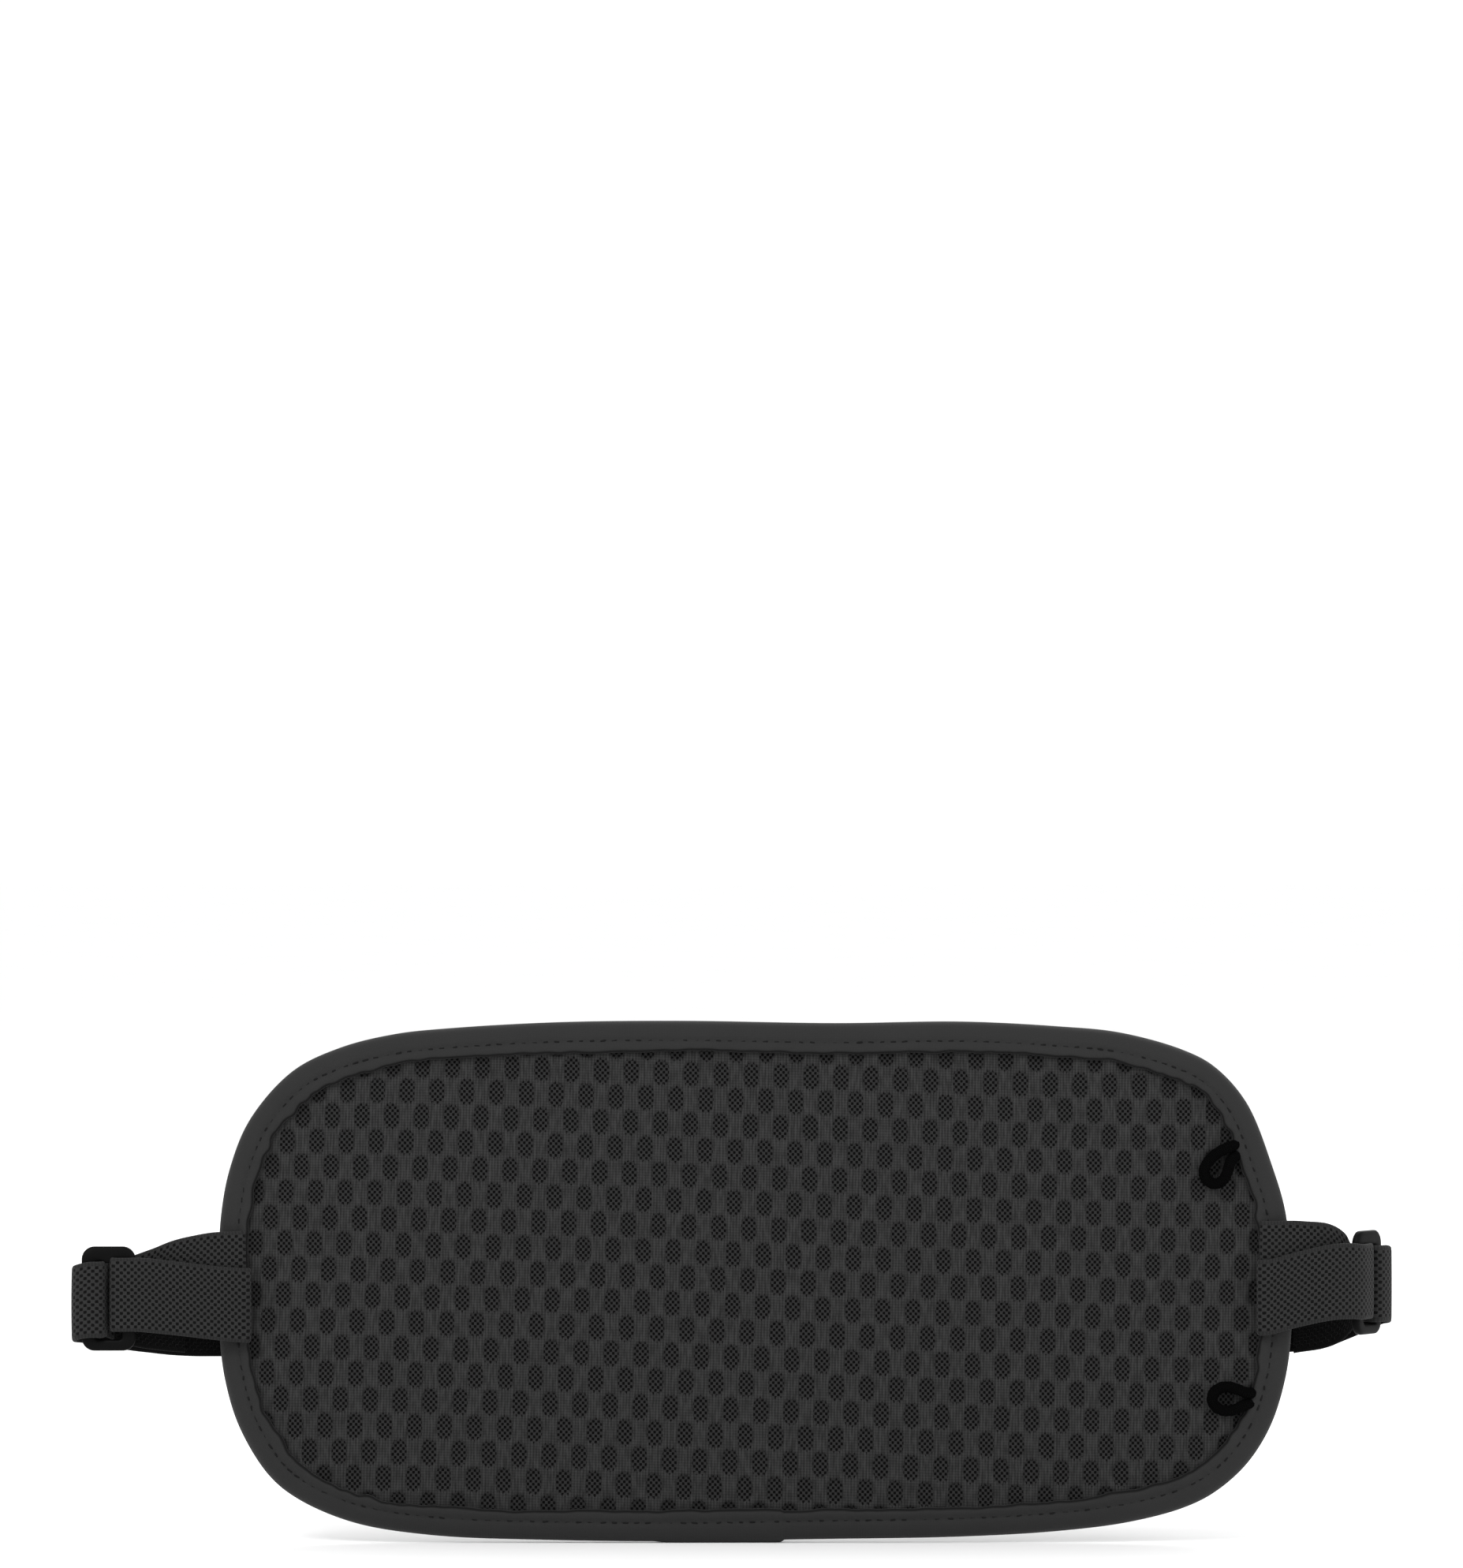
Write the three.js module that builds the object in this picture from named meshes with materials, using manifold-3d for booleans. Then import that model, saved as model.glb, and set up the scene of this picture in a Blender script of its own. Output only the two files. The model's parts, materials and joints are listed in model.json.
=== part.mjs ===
// A travel money belt: a flat zipped pouch with an air-mesh back, and an elastic waist strap.
// Frame: millimetres, +X to the right as seen from the mesh side, +Y away from the wearer, +Z up.
// The origin is the middle of the mesh panel's outer face, which lies against the wearer.

import * as THREE from "three";
import { mergeVertices } from "three/addons/utils/BufferGeometryUtils.js";
import Module from "manifold-3d";

const wasm = await Module();
wasm.setup();

// ---- Driving dimensions ----

const GAP = 0.3; // left between pieces that touch on the real object

// Outer edge of the pouch as (x, z), from the top middle round by the wearer's left.
const POUCH_EDGE = [
  [-20, 67.2], [-52, 66.8], [-80, 65.2], [-93, 63.8], [-107.2, 60.3], [-119.6, 54.2],
  [-130.5, 41.9], [-135.6, 29.7], [-138, 17.4], [-138.7, 0], [-138.4, -14], [-137, -25.4],
  [-133.3, -37.6], [-125.8, -49.9], [-118.4, -56], [-104.1, -62.1], [-84, -65.4], [-52, -66.7],
  [-16, -67], [13, -66.5], [53.5, -65.8], [78, -64.4], [96.4, -62.1], [110.7, -58.4],
  [118.8, -54.4], [127, -47.2], [133.1, -37.6], [137, -25.4], [138.6, -13], [138.4, 2],
  [137.2, 17.4], [133.7, 29.7], [127, 46.2], [118.8, 55.4], [110.7, 59.7], [94.3, 64.2],
  [78, 65.8], [53.5, 67], [20.9, 66.6],
];
const EDGE_SAMPLES = 96;

// Layers of the pouch, from the wearer outwards, as [near y, far y].
const MESH_LAYER = [0, 2.7];
const LINING_LAYER = [3, 3.4];
const DIVIDER_LAYER = [4, 4.4];
const TAPE_LAYER = [4.9, 5.35];
const PANEL_LAYER = [5.7, 6.4];
const PANEL_INSET = 1.6; // from the pouch's edge to the edge of each layer

const BINDING_WIDTH = 7.5;
const BINDING_THICKNESS = 0.8;

// The two zips: height of each chain, and how far its panels stand back from it.
const MAIN_ZIP_Z = 48;
const SECOND_ZIP_Z = 21;
const ZIP_HALF_LENGTH = 100;
const ZIP_WINDOW = 5.2;
const TAPE_WIDTH = 10;
const COIL_WIDTH = 2.7;
const COIL_SPLIT = 0.2;
const COIL_LAYER = [5.65, 7.6];
const STOP_LENGTH = 2.4;
const MAIN_SLIDER_X = -92;
const SECOND_SLIDER_X = 90;

// Zip slider: a saddle over the chain with an arch that the puller's eye hangs on.
const SLIDER_LENGTH = 11;
const SLIDER_WIDTH = 8.6;
const SLIDER_TOP = [7.95, 9];
const SLIDER_FLANGE = 1;
const ARCH_BAR_Y = 11.45;
const ARCH_BAR = 1;
const ARCH_SPAN = 5.6;
const ARCH_LEG = 1.2;
const EYE_HOLE_RADIUS = 1;
const EYE_RADIUS = 2.2;
const EYE_THICKNESS = 2;
const PULLER_LENGTH = 19;
const PULLER_WIDTH = 6;
const PULLER_THICKNESS = 1.4;

// Elastic webbing of the end tabs and the waist strap.
const WEBBING_WIDTH = 20;
const WEBBING_THICKNESS = 1.5;
const WEBBING_STEPS = 4;

// Rectangular rings that join the end tabs to the waist strap.
const RING_LENGTH = 14;
const RING_HEIGHT = 27;
const RING_THICKNESS = 2.2;
const RING_BAR = 3.6;
const RING_SLOT_HEIGHT = 21.4;
const LEFT_RING = { x: -167.1, y: -1.9, z: -4.2, turn: 180 };
const RIGHT_RING = { x: 158.7, y: 8.4, z: -0.5, turn: 60 };

// Back of the waist strap: a flat run behind the pouch, with the buckle and the adjuster on it.
const STRAP_Y = 30;
const STRAP_Z = -9;
const RUN_END_X = 100;

const BUCKLE_WIDTH = 27;
const BUCKLE_DEPTH = 9.6;
const BUCKLE_WALL = 1.8;
const SOCKET_END_X = 9;
const SOCKET_START_X = -12.4;
const SOCKET_BAR_X = -18;
const PLUG_BASE_X = 9.6;
const PLUG_BASE_LENGTH = 6.4;
const PLUG_BAR_X = 25.8;
const PLUG_TIP_X = -8;
const PRONG_ROOT_X = 9.3;
const STRAP_BAR = 2.4;
const BAR_SLOT = 21.2;

const ADJUSTER_X = 62;
const ADJUSTER_LENGTH = 20;
const ADJUSTER_BAR = 2.6;
const ADJUSTER_OUTER_BARS = [31.05, 32.9];
const ADJUSTER_MIDDLE_BAR = [24.9, 26.7];

// Elastic cord loops on the mesh side, as (x, z) points along the cord.
const CORD_DIAMETER = 2.3;
const CORD_Y = -GAP - CORD_DIAMETER / 2;
const UPPER_LOOP = [
  [122.6, 35.6], [120.6, 34.5], [117.4, 31.8], [115.8, 28.8], [116.5, 26.3],
  [119.0, 25.1], [121.3, 26.4], [122.4, 29.1], [123.2, 31.9],
];
const LOWER_LOOP = [
  [127.2, -27.8], [125.0, -27.2], [122.2, -26.7], [119.3, -27.5], [117.8, -30.0],
  [119.2, -32.7], [121.6, -33.7], [124.0, -33.0], [125.8, -31.4],
];

// ---- Materials ----

function finish(color, roughness, metalness = 0) {
  return new THREE.MeshStandardMaterial({ color, roughness, metalness });
}

const meshFabric = finish(0x303030, 0.9);
const liningFabric = finish(0x3a3c3f, 0.7);
const pouchFabric = finish(0x2b2b2c, 0.8);
const bindingTape = finish(0x333333, 0.8);
const zipTape = finish(0x1f1f20, 0.85);
const zipCoil = finish(0x161617, 0.45);
const elasticWebbing = finish(0x2c2c2c, 0.9);
const elasticCord = finish(0x090909, 0.95);
const moulding = finish(0x1c1c1c, 0.4);
const sliderMetal = finish(0x1a1a1b, 0.35, 0.8);

// ---- Shape helpers ----

function toSolid(geometry) {
  const bare = geometry.clone();
  bare.deleteAttribute("normal");
  bare.deleteAttribute("uv");
  const merged = mergeVertices(bare, 1e-4);
  const mesh = new wasm.Mesh({
    numProp: 3,
    vertProperties: new Float32Array(merged.attributes.position.array),
    triVerts: new Uint32Array(merged.index.array),
  });
  return new wasm.Manifold(mesh);
}

function toGeometry(solid) {
  const mesh = solid.getMesh();
  const geometry = new THREE.BufferGeometry();
  geometry.setAttribute("position", new THREE.BufferAttribute(mesh.vertProperties, 3));
  geometry.setIndex(new THREE.BufferAttribute(mesh.triVerts, 1));
  geometry.computeVertexNormals();
  return geometry;
}

function join(...geometries) {
  return toGeometry(geometries.map(toSolid).reduce((whole, piece) => whole.add(piece)));
}

function cut(geometry, ...tools) {
  return toGeometry(tools.map(toSolid).reduce((left, tool) => left.subtract(tool), toSolid(geometry)));
}

// A box between two corners.
function block([x0, x1], [y0, y1], [z0, z1]) {
  const box = new THREE.BoxGeometry(x1 - x0, y1 - y0, z1 - z0);
  return box.translate((x0 + x1) / 2, (y0 + y1) / 2, (z0 + z1) / 2);
}

function around(middle, size) {
  return [middle - size / 2, middle + size / 2];
}

// A flat piece with an (x, z) outline, between two values of y.
function plate(points, [near, far]) {
  const shape = new THREE.Shape(points.map(([x, z]) => new THREE.Vector2(x, z)));
  const geometry = new THREE.ExtrudeGeometry(shape, { depth: far - near, bevelEnabled: false });
  return geometry.rotateX(Math.PI / 2).translate(0, far, 0);
}

// The pouch's edge moved inwards by a distance, as a list of (x, z).
function pouchOutline(inset) {
  const corners = POUCH_EDGE.map(([x, z]) => new THREE.Vector3(x, 0, z));
  const curve = new THREE.CatmullRomCurve3(corners, true, "centripetal");
  const spots = curve.getSpacedPoints(EDGE_SAMPLES).slice(0, EDGE_SAMPLES);
  return spots.map((spot, i) => {
    const before = spots[(i + EDGE_SAMPLES - 1) % EDGE_SAMPLES];
    const after = spots[(i + 1) % EDGE_SAMPLES];
    const along = after.clone().sub(before).normalize();
    // The edge runs anticlockwise in (x, z), so its left side is the inside.
    return [spot.x - along.z * inset, spot.z + along.x * inset];
  });
}

// The part of an (x, z) outline on one side of a level line: side +1 keeps above, -1 below.
function keepSide(points, level, side) {
  const kept = [];
  points.forEach(([x, z], i) => {
    const [nextX, nextZ] = points[(i + 1) % points.length];
    const inside = (z - level) * side >= 0;
    const nextInside = (nextZ - level) * side >= 0;
    if (inside) {
      kept.push([x, z]);
    }
    if (inside !== nextInside) {
      const share = (level - z) / (nextZ - z);
      kept.push([x + share * (nextX - x), level]);
    }
  });
  return kept;
}

function band(inset, low, high) {
  return keepSide(keepSide(pouchOutline(inset), low, 1), high, -1);
}

// A closed solid through a list of equal rings of points, which closes on itself or has end caps.
function loft(rings, closed) {
  const size = rings[0].length;
  const positions = rings.flat(2);
  const faces = [];
  const links = closed ? rings.length : rings.length - 1;
  for (let i = 0; i < links; i += 1) {
    const here = i * size;
    const next = ((i + 1) % rings.length) * size;
    for (let k = 0; k < size; k += 1) {
      const l = (k + 1) % size;
      faces.push(here + k, next + k, next + l, here + k, next + l, here + l);
    }
  }
  if (!closed) {
    const last = (rings.length - 1) * size;
    for (let k = 1; k < size - 1; k += 1) {
      faces.push(0, k, k + 1, last, last + k + 1, last + k);
    }
  }
  const geometry = new THREE.BufferGeometry();
  geometry.setAttribute("position", new THREE.Float32BufferAttribute(positions, 3));
  geometry.setIndex(faces);
  geometry.computeVertexNormals();
  return geometry;
}

// Webbing that stands on edge along a route of (x, y, z) points, z being the webbing's middle.
// Every stretch between two points has as many steps, so the tight turns are the finest.
function webbing(route) {
  const points = route.map(([x, y, z]) => new THREE.Vector3(x, y, z));
  const curve = new THREE.CatmullRomCurve3(points, false, "centripetal");
  const half = WEBBING_THICKNESS / 2;
  const steps = WEBBING_STEPS * (route.length - 1);
  const rings = [];
  for (let i = 0; i <= steps; i += 1) {
    const spot = curve.getPoint(i / steps);
    const along = curve.getTangent(i / steps);
    along.z = 0;
    along.normalize();
    const side = [-along.y * half, along.x * half];
    const low = spot.z - WEBBING_WIDTH / 2;
    const high = spot.z + WEBBING_WIDTH / 2;
    rings.push([
      [spot.x + side[0], spot.y + side[1], low],
      [spot.x - side[0], spot.y - side[1], low],
      [spot.x - side[0], spot.y - side[1], high],
      [spot.x + side[0], spot.y + side[1], high],
    ]);
  }
  return loft(rings, false);
}

// ---- Pouch ----

function bindingGeometry() {
  const near = MESH_LAYER[0] - GAP;
  const far = PANEL_LAYER[1] + GAP;
  const t = BINDING_THICKNESS;
  // A folded tape as (distance in from the edge, y).
  const section = [
    [t + GAP, near], [t + GAP, far], [BINDING_WIDTH, far], [BINDING_WIDTH, far + t], [t, far + t],
    [0, far], [0, near], [t, near - t], [BINDING_WIDTH, near - t], [BINDING_WIDTH, near],
  ];
  const loops = section.map(([inset]) => pouchOutline(inset));
  const rings = loops[0].map((_, i) =>
    section.map(([, y], k) => [loops[k][i][0], y, loops[k][i][1]]),
  );
  return loft(rings, true);
}

// ---- Zips ----

function zipPieces(z) {
  const tape = PANEL_INSET;
  const x = [-ZIP_HALF_LENGTH, ZIP_HALF_LENGTH];
  const stop = [z - COIL_WIDTH, z + COIL_WIDTH];
  const stopStart = ZIP_HALF_LENGTH + GAP;
  return {
    upper_tape: plate(band(tape, z + COIL_SPLIT, z + TAPE_WIDTH), TAPE_LAYER),
    lower_tape: plate(band(tape, z - TAPE_WIDTH, z - COIL_SPLIT), TAPE_LAYER),
    upper_coil: block(x, COIL_LAYER, [z + COIL_SPLIT, z + COIL_SPLIT + COIL_WIDTH]),
    lower_coil: block(x, COIL_LAYER, [z - COIL_SPLIT - COIL_WIDTH, z - COIL_SPLIT]),
    left_stop: block([-stopStart - STOP_LENGTH, -stopStart], COIL_LAYER, stop),
    right_stop: block([stopStart, stopStart + STOP_LENGTH], COIL_LAYER, stop),
  };
}

function sliderGeometry() {
  const half = SLIDER_WIDTH / 2;
  const flangeFoot = TAPE_LAYER[1] + GAP;
  const flange = [flangeFoot, SLIDER_TOP[0] + 0.1];
  const archTop = ARCH_BAR_Y + ARCH_BAR / 2;
  const legEnd = ARCH_SPAN / 2 + ARCH_LEG;
  const x = around(0, SLIDER_LENGTH);
  return join(
    block(x, SLIDER_TOP, [-half, half]),
    block(x, flange, [half - SLIDER_FLANGE, half]),
    block(x, flange, [-half, SLIDER_FLANGE - half]),
    block([-legEnd, -ARCH_SPAN / 2], [SLIDER_TOP[1] - 0.1, archTop], around(0, ARCH_BAR)),
    block([ARCH_SPAN / 2, legEnd], [SLIDER_TOP[1] - 0.1, archTop], around(0, ARCH_BAR)),
    block([-legEnd, legEnd], around(ARCH_BAR_Y, ARCH_BAR), around(0, ARCH_BAR)),
  );
}

function pullerGeometry() {
  const eye = new THREE.Shape().absarc(0, 0, EYE_RADIUS, 0, 2 * Math.PI);
  eye.holes.push(new THREE.Path().absarc(0, 0, EYE_HOLE_RADIUS, 0, 2 * Math.PI, true));
  const ring = new THREE.ExtrudeGeometry(eye, {
    depth: EYE_THICKNESS,
    bevelEnabled: false,
    curveSegments: 12,
  });
  ring.rotateY(Math.PI / 2).translate(-EYE_THICKNESS / 2, 0, 0);
  const half = PULLER_WIDTH / 2;
  const top = -(EYE_HOLE_RADIUS + EYE_RADIUS) / 2;
  const tab = new THREE.Shape();
  tab.moveTo(-1, top);
  tab.lineTo(-half, top - 4);
  tab.lineTo(-half, half - PULLER_LENGTH);
  tab.absarc(0, half - PULLER_LENGTH, half, Math.PI, 2 * Math.PI);
  tab.lineTo(half, top - 4);
  tab.lineTo(1, top);
  const blade = new THREE.ExtrudeGeometry(tab, {
    depth: PULLER_THICKNESS,
    bevelEnabled: false,
    curveSegments: 8,
  });
  blade.rotateX(Math.PI / 2).translate(0, PULLER_THICKNESS / 2, 0);
  return join(ring, blade);
}

// ---- Rings, tabs and strap ----

function ringGeometry() {
  const shape = roundedOutline(new THREE.Shape(), RING_LENGTH, RING_HEIGHT, 3);
  shape.holes.push(
    roundedOutline(new THREE.Path(), RING_LENGTH - 2 * RING_BAR, RING_SLOT_HEIGHT, 1),
  );
  const ring = new THREE.ExtrudeGeometry(shape, {
    depth: RING_THICKNESS,
    bevelEnabled: false,
    curveSegments: 4,
  });
  return ring.rotateX(Math.PI / 2).translate(0, RING_THICKNESS / 2, 0);
}

function roundedOutline(path, width, height, radius) {
  const x = width / 2 - radius;
  const y = height / 2 - radius;
  path.absarc(x, y, radius, 0, Math.PI / 2);
  path.absarc(-x, y, radius, Math.PI / 2, Math.PI);
  path.absarc(-x, -y, radius, Math.PI, 1.5 * Math.PI);
  path.absarc(x, -y, radius, 1.5 * Math.PI, 2 * Math.PI);
  path.closePath();
  return path;
}

// A ring's own axes: u from the pouch's bar to the strap's bar, v towards the wearer's side.
function onRing(ring, mirror, points) {
  const turn = THREE.MathUtils.degToRad(ring.turn);
  const along = [Math.cos(turn), Math.sin(turn)];
  const across = [Math.sin(turn) * mirror, -Math.cos(turn) * mirror];
  return points.map(([u, v, z]) => [
    ring.x + along[0] * u + across[0] * v,
    ring.y + along[1] * u + across[1] * v,
    z,
  ]);
}

// The tab goes round the ring's near bar, and the strap round its far bar.
function tabTurn(ring, mirror, z) {
  return onRing(ring, mirror, [
    [-8, 2.6, z], [-4.6, 2.45, z], [-1.9, 1.5, z], [-1.45, 0, z], [-1.9, -1.5, z], [-4.6, -2.45, z],
  ]);
}

function strapTurn(ring, mirror, slotZ, foldZ) {
  return onRing(ring, mirror, [
    [0.9, -2.4, slotZ], [1.25, 0, slotZ], [2.2, 2.4, slotZ], [5, 3.2, slotZ],
    [7.9, 2.5, (slotZ + foldZ) / 2], [8.95, 0, foldZ],
  ]);
}

// A strap's turn round a buckle's bar, from its far side to its near side. Side is +1 round
// the bar's right, -1 round its left.
function barTurn(x, side) {
  const turn = [[-0.6, 2.4], [2.2, 1.9], [3.1, 0], [2.2, -1.9], [-0.6, -2.4]];
  return turn.map(([dx, dy]) => [x + side * dx, STRAP_Y + dy, STRAP_Z]);
}

const LEFT_TAB = [
  [-130.6, -3.95, -6.2], [-138, -3.95, -6], [-150, -4.3, -5],
  ...tabTurn(LEFT_RING, -1, -4),
  [-156, 0, -2.6], [-149, -1.2, 0], [-141, -2.1, 2.4], [-131.4, -2.15, 3],
];

const RIGHT_TAB = [
  [130.6, -3.95, -3.4], [140, -4.4, -2], [149, -4, -0.8], [154.5, -2, -0.4],
  ...tabTurn(RIGHT_RING, 1, -0.4),
  [151.5, 2.4, 1.4], [147.5, -0.6, 3.6], [141, -2.1, 5.6], [131.4, -2.15, 6],
];

const LEFT_STRAP = [
  [-148, 8.2, -8], [-158, 4.9, -6.8], [-164.5, 2.9, -5.6],
  ...strapTurn(LEFT_RING, -1, -4.4, -5.6),
  [-174.6, 1.2, -6], [-171, 3, -6.4], [-166, 4.6, -7], [-158, 7.1, -8], [-148, 10.4, -9.2],
  [-139, 13.2, -10], [-120, 18.6, -9.8], [-90, 25.2, -9.3], [-60, 29.6, STRAP_Z],
  [-38, 31, STRAP_Z], [-24, 31.9, STRAP_Z], ...barTurn(SOCKET_BAR_X, 1),
  [-24, 28.1, STRAP_Z], [-36, 28.9, STRAP_Z],
];

// The right strap is cut where the flat run ends, because only the run moves with the plug.
const RIGHT_STRAP = [
  [140.5, 19.9, -7], [148, 17.7, -5.4], [152.5, 15.6, -4], [155.2, 13.2, -2],
  ...strapTurn(RIGHT_RING, 1, -0.7, -1.8),
  [160.2, 17.6, -2.6], [155, 18.7, -3.6], [148, 20.3, -5.4], [140, 22.5, -7], [125, 26.6, -8.4],
  [112, 29.2, -8.9], [RUN_END_X + GAP, STRAP_Y, STRAP_Z],
];

const STRAP_RUN = [
  [29.5, 27.6, STRAP_Z], ...barTurn(PLUG_BAR_X, -1).reverse(),
  [33, 31.4, STRAP_Z], [41, 30.15, STRAP_Z],
  [46, STRAP_Y, STRAP_Z], [70, STRAP_Y, STRAP_Z], [RUN_END_X, STRAP_Y, STRAP_Z],
];

// The end of the strap comes back from the plug and is sewn round the adjuster's middle bar.
const RETURN_LAYER = [
  [29.8, 27.6, STRAP_Z], [46, 27.7, STRAP_Z], [ADJUSTER_X + 0.6, 27.8, STRAP_Z],
  [ADJUSTER_X + 2.7, 27.2, STRAP_Z], [ADJUSTER_X + 3.4, 25.8, STRAP_Z],
  [ADJUSTER_X + 2.7, 24.4, STRAP_Z], [ADJUSTER_X + 0.6, 23.8, STRAP_Z],
  [ADJUSTER_X - 5.5, 24.4, STRAP_Z], [ADJUSTER_X - 12, 25.6, STRAP_Z],
];

// ---- Buckle and adjuster ----

function socketGeometry() {
  const depth = around(STRAP_Y, BUCKLE_DEPTH);
  const cavity = around(STRAP_Y, BUCKLE_DEPTH - 2 * BUCKLE_WALL);
  const window = around(STRAP_Y, BUCKLE_DEPTH - 2 * BUCKLE_WALL - 1);
  const barY = around(STRAP_Y, STRAP_BAR);
  const wide = around(STRAP_Z, BUCKLE_WIDTH);
  const slot = around(STRAP_Z, BAR_SLOT);
  const barX = around(SOCKET_BAR_X, STRAP_BAR);
  const body = join(
    block([SOCKET_START_X, SOCKET_END_X], depth, wide),
    block([barX[0], SOCKET_START_X + 1], barY, wide),
  );
  return cut(
    body,
    block([barX[1], SOCKET_START_X], around(STRAP_Y, BUCKLE_DEPTH), slot),
    block([PLUG_TIP_X - 2, SOCKET_END_X + 1], cavity, slot),
    block([PLUG_TIP_X - 0.5, PLUG_TIP_X + 10], window, around(STRAP_Z, BUCKLE_WIDTH + 2)),
  );
}

function plugGeometry() {
  const wide = around(STRAP_Z, BUCKLE_WIDTH);
  const baseEnd = PLUG_BASE_X + PLUG_BASE_LENGTH;
  const frame = [baseEnd - 1, PLUG_BAR_X + STRAP_BAR / 2];
  const loop = cut(
    block(frame, around(STRAP_Y, STRAP_BAR), wide),
    block([baseEnd - 1, PLUG_BAR_X - STRAP_BAR / 2], around(STRAP_Y, 4), around(STRAP_Z, BAR_SLOT)),
  );
  return join(
    block([PLUG_BASE_X, baseEnd], around(STRAP_Y, BUCKLE_DEPTH - 1), wide),
    block([PLUG_TIP_X, PLUG_BASE_X + 1], around(STRAP_Y, 4.6), around(STRAP_Z, 5)),
    loop,
  );
}

// A prong is a spring arm with a barbed end. Side is +1 for the upper one, -1 for the lower.
function prongGeometry(side) {
  const arm = [[PRONG_ROOT_X, 6.6], [PRONG_ROOT_X, 9.2], [0, 9.2], [-2, 10.2], [-5.5, 10.2]];
  const tip = [[PLUG_TIP_X, 8.6], [PLUG_TIP_X, 6.6]];
  const outline = [...arm, ...tip].map(([x, z]) => [x, STRAP_Z + side * z]);
  return plate(outline, around(STRAP_Y, 4.8));
}

function adjusterGeometry() {
  const ends = [ADJUSTER_X - ADJUSTER_LENGTH / 2, ADJUSTER_X + ADJUSTER_LENGTH / 2];
  const wide = around(STRAP_Z, BUCKLE_WIDTH);
  const rail = (BUCKLE_WIDTH - BAR_SLOT) / 2;
  const railDepth = [ADJUSTER_OUTER_BARS[0] - 4, ADJUSTER_OUTER_BARS[1]];
  const post = around(ADJUSTER_X, ADJUSTER_BAR + 4);
  const postDepth = [ADJUSTER_MIDDLE_BAR[0], ADJUSTER_OUTER_BARS[1]];
  const upper = [wide[1] - rail, wide[1]];
  const lower = [wide[0], wide[0] + rail];
  return join(
    block([ends[0], ends[0] + ADJUSTER_BAR], ADJUSTER_OUTER_BARS, wide),
    block([ends[1] - ADJUSTER_BAR, ends[1]], ADJUSTER_OUTER_BARS, wide),
    block(around(ADJUSTER_X, ADJUSTER_BAR), ADJUSTER_MIDDLE_BAR, wide),
    block(ends, railDepth, upper),
    block(ends, railDepth, lower),
    block(post, postDepth, upper),
    block(post, postDepth, lower),
  );
}

// ---- Cord loops ----

function cordLoop(points) {
  const route = points.map(([x, z]) => new THREE.Vector3(x, CORD_Y, z));
  const section = new THREE.Shape();
  const sides = 8;
  for (let i = 0; i < sides; i += 1) {
    const angle = (2 * Math.PI * i) / sides;
    const x = (CORD_DIAMETER / 2) * Math.cos(angle);
    const y = (CORD_DIAMETER / 2) * Math.sin(angle);
    section[i === 0 ? "moveTo" : "lineTo"](x, y);
  }
  return new THREE.ExtrudeGeometry(section, {
    steps: 24,
    extrudePath: new THREE.CatmullRomCurve3(route, false, "centripetal"),
    bevelEnabled: false,
  });
}

// ---- Assembly ----

const moneyBelt = new THREE.Group();

function add(name, geometry, material, place = [0, 0, 0], turnZ = 0) {
  const mesh = new THREE.Mesh(geometry, material.clone());
  mesh.name = name;
  mesh.position.set(...place);
  mesh.rotation.z = THREE.MathUtils.degToRad(turnZ);
  moneyBelt.add(mesh);
}

const edge = 80; // beyond the pouch's top and bottom
add("back_mesh_panel", plate(pouchOutline(PANEL_INSET), MESH_LAYER), meshFabric);
add("back_lining", plate(pouchOutline(PANEL_INSET), LINING_LAYER), liningFabric);
add("pocket_divider", plate(pouchOutline(PANEL_INSET), DIVIDER_LAYER), liningFabric);
const panels = {
  front_lower_panel: [-edge, SECOND_ZIP_Z - ZIP_WINDOW],
  front_middle_panel: [SECOND_ZIP_Z + ZIP_WINDOW, MAIN_ZIP_Z - ZIP_WINDOW],
  front_top_panel: [MAIN_ZIP_Z + ZIP_WINDOW, edge],
};
for (const [name, [low, high]] of Object.entries(panels)) {
  add(name, plate(band(PANEL_INSET, low, high), PANEL_LAYER), pouchFabric);
}
add("edge_binding", bindingGeometry(), bindingTape);

const zips = {
  main_zip: { z: MAIN_ZIP_Z, x: MAIN_SLIDER_X },
  second_zip: { z: SECOND_ZIP_Z, x: SECOND_SLIDER_X },
};
for (const [zip, { z, x }] of Object.entries(zips)) {
  for (const [piece, geometry] of Object.entries(zipPieces(z))) {
    add(`${zip}_${piece}`, geometry, piece.endsWith("tape") ? zipTape : zipCoil);
  }
  add(`${zip}_slider`, sliderGeometry(), sliderMetal, [x, 0, z]);
  add(`${zip}_puller`, pullerGeometry(), sliderMetal, [x, ARCH_BAR_Y, z]);
}

add("left_tab_loop", webbing(LEFT_TAB), elasticWebbing);
add("right_tab_loop", webbing(RIGHT_TAB), elasticWebbing);
for (const [name, ring] of Object.entries({ left_ring: LEFT_RING, right_ring: RIGHT_RING })) {
  add(name, ringGeometry(), moulding, [ring.x, ring.y, ring.z], ring.turn);
}
add("left_waist_strap", webbing(LEFT_STRAP), elasticWebbing);
add("right_waist_strap", webbing(RIGHT_STRAP), elasticWebbing);
add("right_strap_run", webbing(STRAP_RUN), elasticWebbing);
add("strap_return_layer", webbing(RETURN_LAYER), elasticWebbing);
add("strap_adjuster", adjusterGeometry(), moulding);
add("buckle_socket", socketGeometry(), moulding);
add("buckle_plug", plugGeometry(), moulding);
add("upper_prong", prongGeometry(1), moulding);
add("lower_prong", prongGeometry(-1), moulding);
add("upper_cord_loop", cordLoop(UPPER_LOOP), elasticCord);
add("lower_cord_loop", cordLoop(LOWER_LOOP), elasticCord);

export default moneyBelt;
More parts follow.
